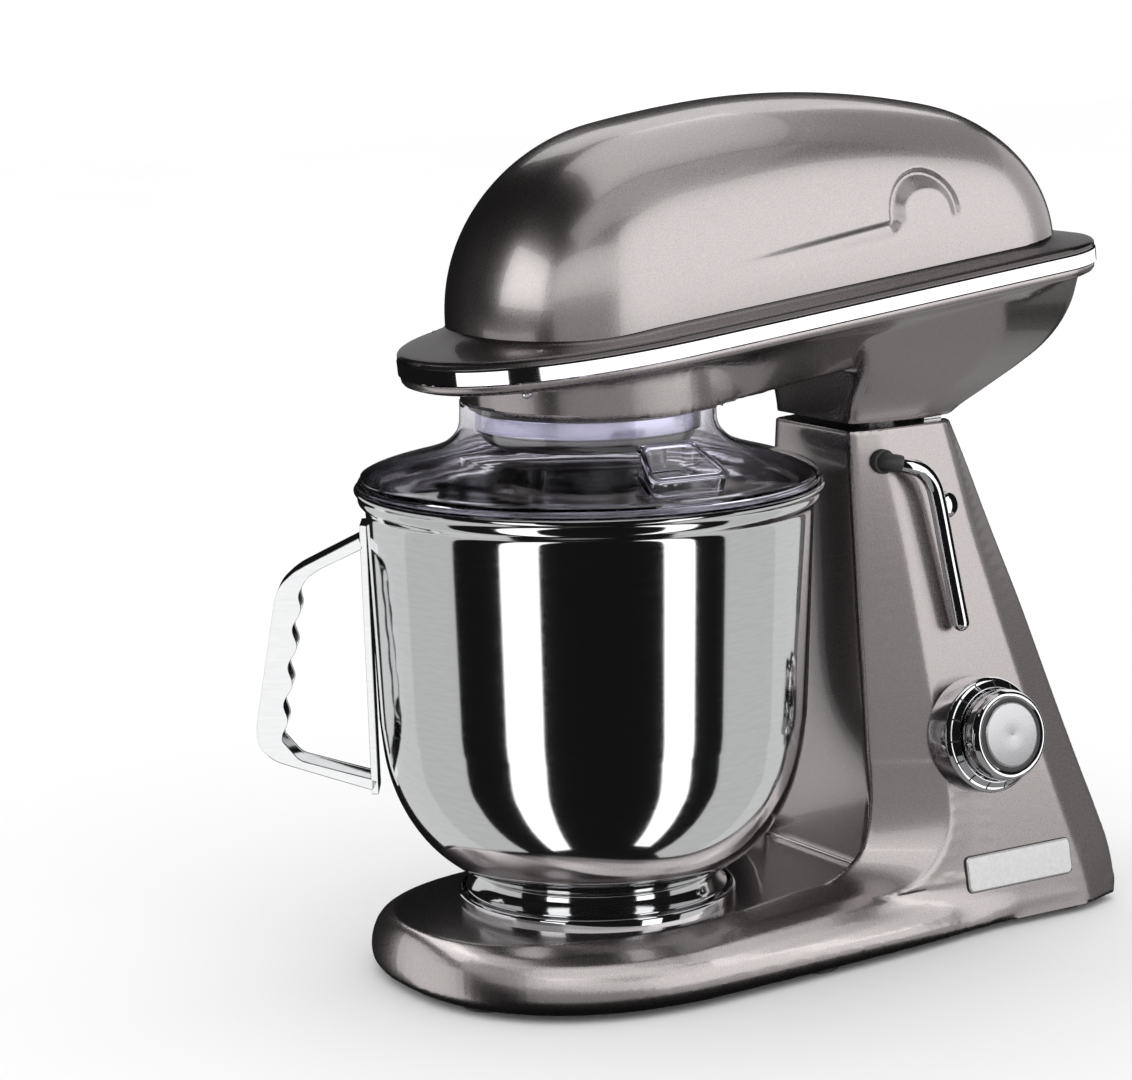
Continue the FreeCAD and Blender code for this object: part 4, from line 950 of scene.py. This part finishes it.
# ------------------------------------------------------------------ controls
def lever():
    path = curve_through([(27, LEVER_Y, LEVER_Z), (38, LEVER_Y, LEVER_Z), (45.5, LEVER_Y + 1, LEVER_Z),
                          (50.2, LEVER_Y + 7, 247.6), (52.0, LEVER_Y + 16, 244.4),
                          (53.0, LEVER_Y + 22.5, 237.2), (54.4, 180.5, 226), (58.5, 184.4, 196),
                          (63.4, 188.6, 163)], 8)
    rod = mesh_object("lever_rod", swept(path, 4.4, 32), CHROME, 60)
    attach(rod, "lever")
    inner = merge(peg(4.5, (-22, LEVER_Y, LEVER_Z), (1, 0, 0), 49),
                  block(-14.5, -10.5, LEVER_Y - 2.5, LEVER_Y + 2.5, 236.6, LEVER_Z),
                  peg(1.9, (-14.5, LEVER_Y, 238.6), (1, 0, 0), 11.5))
    shaft = mesh_object("lever_shaft", inner, STEEL, 35)
    finish_piece(shaft, "lever")
    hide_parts("release_lever")
    # Black sleeve over the rod from the panel out to its first bend: a painted dark reflection, standing in
    # for the dark that the chrome mirrors there
    dark_reflection_sleeve = mesh_object("lever_dark_reflection_sleeve", swept(path[4:22], 4.75, 32), BLACK, 60)
    finish_piece(dark_reflection_sleeve, "lever")
    bush = turned(rounded([(4.7, -2.5), (6.4, -2.5), (6.4, 1.2), (4.7, 1.2)], 0.4, 3), 48)
    turn = Matrix.Translation((41.4, LEVER_Y, LEVER_Z)) @ Matrix.Rotation(math.pi / 2, 4, "Y")
    grommet = mesh_object("lever_grommet", moved(bush, turn), RUBBER)
    finish_piece(grommet, "stand")
    return rod


def stud():
    dome = [(0.001, 4.2), (2.6, 3.9), (4.8, 3.1), (6.4, 1.9), (7.3, 0.2), (7.4, -1.5), (0.001, -1.5)]
    part = turned(rounded(dome, 0.6, 3, closed=False), 64)
    obj = mesh_object("lever_stop", moved(part, on_panel(193, 223)), CHROME, 50)
    return finish_piece(obj, "stand", ["lever_stud"])


KNOB_Y, KNOB_Z = 195.0, 103.0


def knob_turned(name, profile, mat, radius=0.6, segments=128):
    part = moved(turned(rounded(profile, radius, 3), segments), on_panel(KNOB_Y, KNOB_Z))
    return mesh_object(name, part, mat, 40)


def knob():
    collar = knob_turned("dial_collar", [(6.4, -1.0), (30.4, -1.0), (30.4, 14.2), (28.8, 16.0), (27.6, 16.1),
                                         (25.0, 18.8), (24.4, 18.8), (24.4, 12.6), (6.4, 12.6)], CHROME, 0.8)
    finish_piece(collar, "stand", ["knob_escutcheon"])
    ticks = []
    for k in range(11):
        a = math.radians(150 + 24 * k)
        turn = Matrix.Rotation(a, 4, "Z")
        lean = Matrix.Translation((27.5, 0, 16.2)) @ Matrix.Rotation(math.radians(46), 4, "Y")
        ticks.append(moved(moved(block(-3.2, 0.2, -0.42, 0.42, -0.3, 0.12), lean), turn))
        ticks.append(moved(block(27.6, 29.0, -0.42, 0.42, 15.8, 16.15), turn))
    marks = mesh_object("dial_marks", moved(merge(*ticks), on_panel(KNOB_Y, KNOB_Z)), INK)
    finish_piece(marks, "stand")
    body = knob_turned("dial_knob", [(4.4, 13.2), (20.3, 13.2), (20.3, 16.8), (22.6, 17.4), (23.8, 19.0),
                                     (23.8, 28.0), (22.2, 30.8), (20.6, 31.0), (19.4, 30.2), (17.4, 29.3),
                                     (4.4, 27.2)], CHROME, 0.9)
    finish_piece(body, "knob", ["speed_knob"])
    gasket = knob_turned("dial_ring", [(17.0, 29.0), (19.5, 29.0), (19.5, 30.2), (17.0, 30.2)], INK, 0.3)
    finish_piece(gasket, "knob")
    cap = knob_turned("dial_cap", [(0.001, 27.0), (17.1, 27.0), (17.1, 30.4), (16.2, 31.2), (8, 31.5),
                                   (0.001, 31.6)], BRUSHED, 0.5)
    return finish_piece(cap, "knob", ["knob_cap"])


def side_plate():
    flat = rounded([(-9.4, -35.0), (9.4, -35.0), (9.4, 35.0), (-9.4, 35.0)], 3.2, 6)
    lower = rounded([(-8.6, -34.2), (8.6, -34.2), (8.6, 34.2), (-8.6, 34.2)], 2.8, 6)
    rings = [[(u, v, h) for u, v in loop] for loop, h in ((flat, -1.5), (flat, 1.3), (lower, 1.9))]
    turn = on_panel(214, 31.5)
    obj = mesh_object("blank_plate", moved(skin(rings, True, True), turn), PLATE, 30)
    # Black rim just outside the plate's edge, giving the plate a dark outline
    edge = rounded([(-9.9, -35.5), (9.9, -35.5), (9.9, 35.5), (-9.9, 35.5)], 3.6, 6)
    under = moved(skin([[(u, v, h) for u, v in edge] for h in (-1.5, 0.5)], True, True), turn)
    finish_piece(mesh_object("plate_dark_outline", under, INK, 30), "stand")
    return finish_piece(obj, "stand", ["side_plate"])


# ------------------------------------------------------------------ studio
CAMERA_AT = (1439.93, -914.55, 529.41)
CAMERA_AIM = (-0.83430, 0.52154, -0.17874)
CAMERA_ROLL = -1.1246
CAMERA_LENS = 108.77


def camera():
    data = bpy.data.cameras.new("camera")
    data.lens = CAMERA_LENS
    data.sensor_width = 36.0
    data.sensor_fit = "HORIZONTAL"
    data.clip_end = 20.0
    obj = bpy.data.objects.new("camera", data)
    bpy.context.collection.objects.link(obj)
    aim = Vector(CAMERA_AIM).normalized()
    right = aim.cross(Vector((0, 0, 1))).normalized()
    up = right.cross(aim)
    roll = math.radians(CAMERA_ROLL)
    rolled_right = right * math.cos(roll) + up * math.sin(roll)
    rolled_up = up * math.cos(roll) - right * math.sin(roll)
    turn = Matrix((rolled_right, rolled_up, -aim)).transposed().to_4x4()
    obj.matrix_world = Matrix.Translation(place(CAMERA_AT)) @ turn
    bpy.context.scene.camera = obj


STEEL_PIECES = ("mixing_bowl", "bowl_base_ring", "bowl_ring")
GRIP_PIECES = ("bowl_grip",)
BRIM_PIECES = ("head_brim",)
TRIM_PIECES = ("head_trim",)
STAND_PIECES = ("stand_casting",)
CHROME_PIECES = ("lever_rod", "lever_stop", "dial_collar", "dial_knob")


def receivers(name, wanted):
    """The pieces that one set of soft boxes lights."""
    group = bpy.data.collections.new("lit_" + name)
    for obj in bpy.context.scene.objects:
        if obj.type == "MESH" and obj.name != "floor" and wanted(obj.name):
            group.objects.link(obj)
    return group


def area_light(name, width, height, glow, group, matrix):
    """Rectangular light for one group of pieces, which the camera itself doesn't see."""
    data = bpy.data.lights.new(name, "AREA")
    data.shape = "RECTANGLE"
    data.size = width * MM
    data.size_y = height * MM
    data.energy = glow * math.pi * data.size * data.size_y
    obj = bpy.data.objects.new(name, data)
    bpy.context.collection.objects.link(obj)
    obj.matrix_world = matrix
    obj.visible_camera = False
    obj.light_linking.receiver_collection = group


BOX_DISTANCE = 1500.0
BOX_CENTRE_Y = 40.0


def soft_box(name, bearings, heights, glow, group):
    """Upright soft box between two bearings, in degrees from +X about the mixer, facing it."""
    half = math.radians(bearings[1] - bearings[0]) / 2
    bearing = math.radians(sum(bearings) / 2)
    away = Vector((math.cos(bearing), math.sin(bearing), 0))
    turn = away.to_track_quat("Z", "Y").to_matrix().to_4x4()
    centre = place((BOX_DISTANCE * away.x, BOX_DISTANCE * away.y + BOX_CENTRE_Y, sum(heights) / 2))
    width = 2 * BOX_DISTANCE * math.tan(half)
    area_light(name, width, heights[1] - heights[0], glow, group, Matrix.Translation(centre) @ turn)


def overhead_box(name, centre, size, glow, group, up=False):
    turn = Matrix.Rotation(math.pi if up else 0.0, 4, "X")
    area_light(name, *size, glow, group, Matrix.Translation(place(centre)) @ turn)


# Bearings, heights and brightness of the soft boxes that the bowl's steel mirrors as upright stripes
STEEL_BOXES = (("left", (-176, -138), (-3800, 420), 0.68), ("left_inner", (-138, -104), (-3800, 420), 0.58),
               ("left_strip", (-78.2, -58.4), (-3400, 420), 1.6),
               ("right_strip", (2.3, 19.2), (-3000, 420), 1.6),
               ("right_inner", (36.8, 74), (-3800, 420), 0.58), ("right", (74, 118), (-3800, 420), 0.68))
# The same for the stand's casting
STAND_BOXES = (("front", (-165, -104), (800, 2400), 2.3), ("front_soft", (-104, -60), (420, 1500), 0.6),
               ("front_low", (-148, -100), (-900, 420), 1.3),
               ("side_low", (-60, 8), (-420, 600), 0.5), ("side_high", (-60, 8), (600, 1700), 1.4),
               ("side", (8, 60), (130, 1550), 1.75), ("side_foot", (8, 60), (-420, 130), 0.75),
               ("far", (60, 112), (300, 850), 0.5), ("far_high", (52, 128), (850, 2700), 1.4),
               ("far_foot", (60, 112), (-300, 300), 0.2))
# The same for the head and everything else
REST_BOXES = (("front", (-124, -72), (420, 1300), 2.3), ("front_soft", (-72, -60), (420, 1150), 1.0),
              ("front_low", (-140, -82), (-900, 120), 1.0), ("side_low", (-60, 8), (-420, 600), 0.5),
              ("side_high", (-60, 8), (600, 1400), 1.4), ("side", (8, 60), (130, 1550), 1.9),
              ("side_foot", (8, 60), (-420, 130), 0.75), ("far", (60, 112), (300, 1300), 0.8),
              ("far_high", (60, 125), (1300, 2600), 0.45), ("far_foot", (60, 112), (-300, 300), 0.2),
              ("far_side", (118, 176), (1250, 2400), 1.2))
# The brim round the dome stays dark, and the trim band shows one dark gap near the front
BRIM_BOXES = (("front", (-140, -60), (200, 1500), 0.42), ("side", (-60, 112), (-420, 1550), 0.36),
              ("back", (112, 178), (300, 1700), 0.22))
TRIM_BOXES = (("front", (-94, -50), (-900, 1500), 1.6), ("side", (-33, 120), (-900, 1500), 1.6))
# The bowl's handle is lit all round
GRIP_BOXES = (("left", (-178, -70), (-1800, 1500), 0.95), ("right", (-70, 60), (-1800, 1500), 1.2))
# And for the chromed fittings on the column, which show thin bright lines in a dark body
CHROME_BOXES = (("edge", (-116, -98), (-800, 1500), 1.3), ("key", (14, 44), (-800, 1500), 1.5),
                ("back", (104, 128), (-800, 1500), 1.1))
# Level boxes over and under the mixer: name, centre, size, brightness, whether it faces up
OVERHEADS = (("rest_top", (-150, 400, 2000), (1700, 1400), 1.2, False),
             ("rest_high", (1250, 0, 1950), (1000, 2400), 0.8, False),
             ("rest_floor", (0, 100, -700), (3200, 3200), 0.42, True),
             ("stand_top", (-150, 100, 2000), (1700, 1800), 0.9, False),
             ("stand_high", (1150, -250, 1950), (1100, 2600), 1.6, False),
             ("stand_front", (-300, -1250, 1950), (1500, 1000), 1.0, False),
             ("brim_top", (-150, 400, 2000), (1700, 1400), 0.4, False),
             ("grip_top", (0, 0, 2000), (2400, 2400), 1.2, False),
             ("chrome_top", (0, 100, 2000), (900, 1500), 1.0, False),
             ("chrome_floor", (0, 100, -700), (3200, 3200), 0.25, True),
             ("steel_top", (0, 0, 2000), (1500, 1500), 0.5, False))
SURROUND_DARK = 0.008
SURROUND_FLOOR = 1.2


def surroundings():
    """White to the eye and to matt surfaces, and a dark room in the gloss of the paint and steel."""
    world = bpy.data.worlds.new("studio")
    bpy.context.scene.world = world
    world.use_nodes = True
    nodes = world.node_tree.nodes
    links = world.node_tree.links
    back = nodes["Background"]
    rays = nodes.new("ShaderNodeLightPath")
    tone = nodes.new("ShaderNodeMixRGB")
    tone.inputs[1].default_value = (SURROUND_FLOOR, SURROUND_FLOOR, SURROUND_FLOOR, 1)
    tone.inputs[2].default_value = (SURROUND_DARK, SURROUND_DARK, SURROUND_DARK, 1)
    links.new(rays.outputs["Is Glossy Ray"], tone.inputs[0])
    links.new(tone.outputs["Color"], back.inputs["Color"])


def floor():
    reach = 6000
    part = block(-reach, reach, -reach, reach, -4.0, -0.05)
    pale = material("pale_floor", (0.92, 0.92, 0.92), 0.0, 0.8, grain=3, vary=0.003)
    obj = mesh_object("floor", part, pale)
    obj.visible_glossy = False
    obj.visible_shadow = False


def studio():
    floor()
    surroundings()
    sets = (("steel", STEEL_PIECES, STEEL_BOXES), ("stand", STAND_PIECES, STAND_BOXES),
            ("chrome", CHROME_PIECES, CHROME_BOXES), ("grip", GRIP_PIECES, GRIP_BOXES),
            ("brim", BRIM_PIECES, BRIM_BOXES), ("trim", TRIM_PIECES, TRIM_BOXES))
    others = STEEL_PIECES + STAND_PIECES + CHROME_PIECES + GRIP_PIECES + BRIM_PIECES + TRIM_PIECES
    groups = {name: receivers(name, lambda piece: piece in pieces) for name, pieces, boxes in sets}
    groups["rest"] = receivers("rest", lambda piece: piece not in others)
    for name, pieces, boxes in sets + (("rest", (), REST_BOXES),):
        for part, bearings, heights, glow in boxes:
            soft_box(name + "_" + part, bearings, heights, glow, groups[name])
    for name, centre, size, glow, up in OVERHEADS:
        overhead_box(name, centre, size, glow, groups[name.split("_")[0]], up)
    bpy.context.scene.view_settings.view_transform = "Standard"
    camera()


dress_cad()
stand()
socket()
bowl()
bowl_foot()
handle()
lid()
chute()
head_top()
band()
head_under()
hub()
beater()
lever()
stud()
knob()
side_plate()
studio()
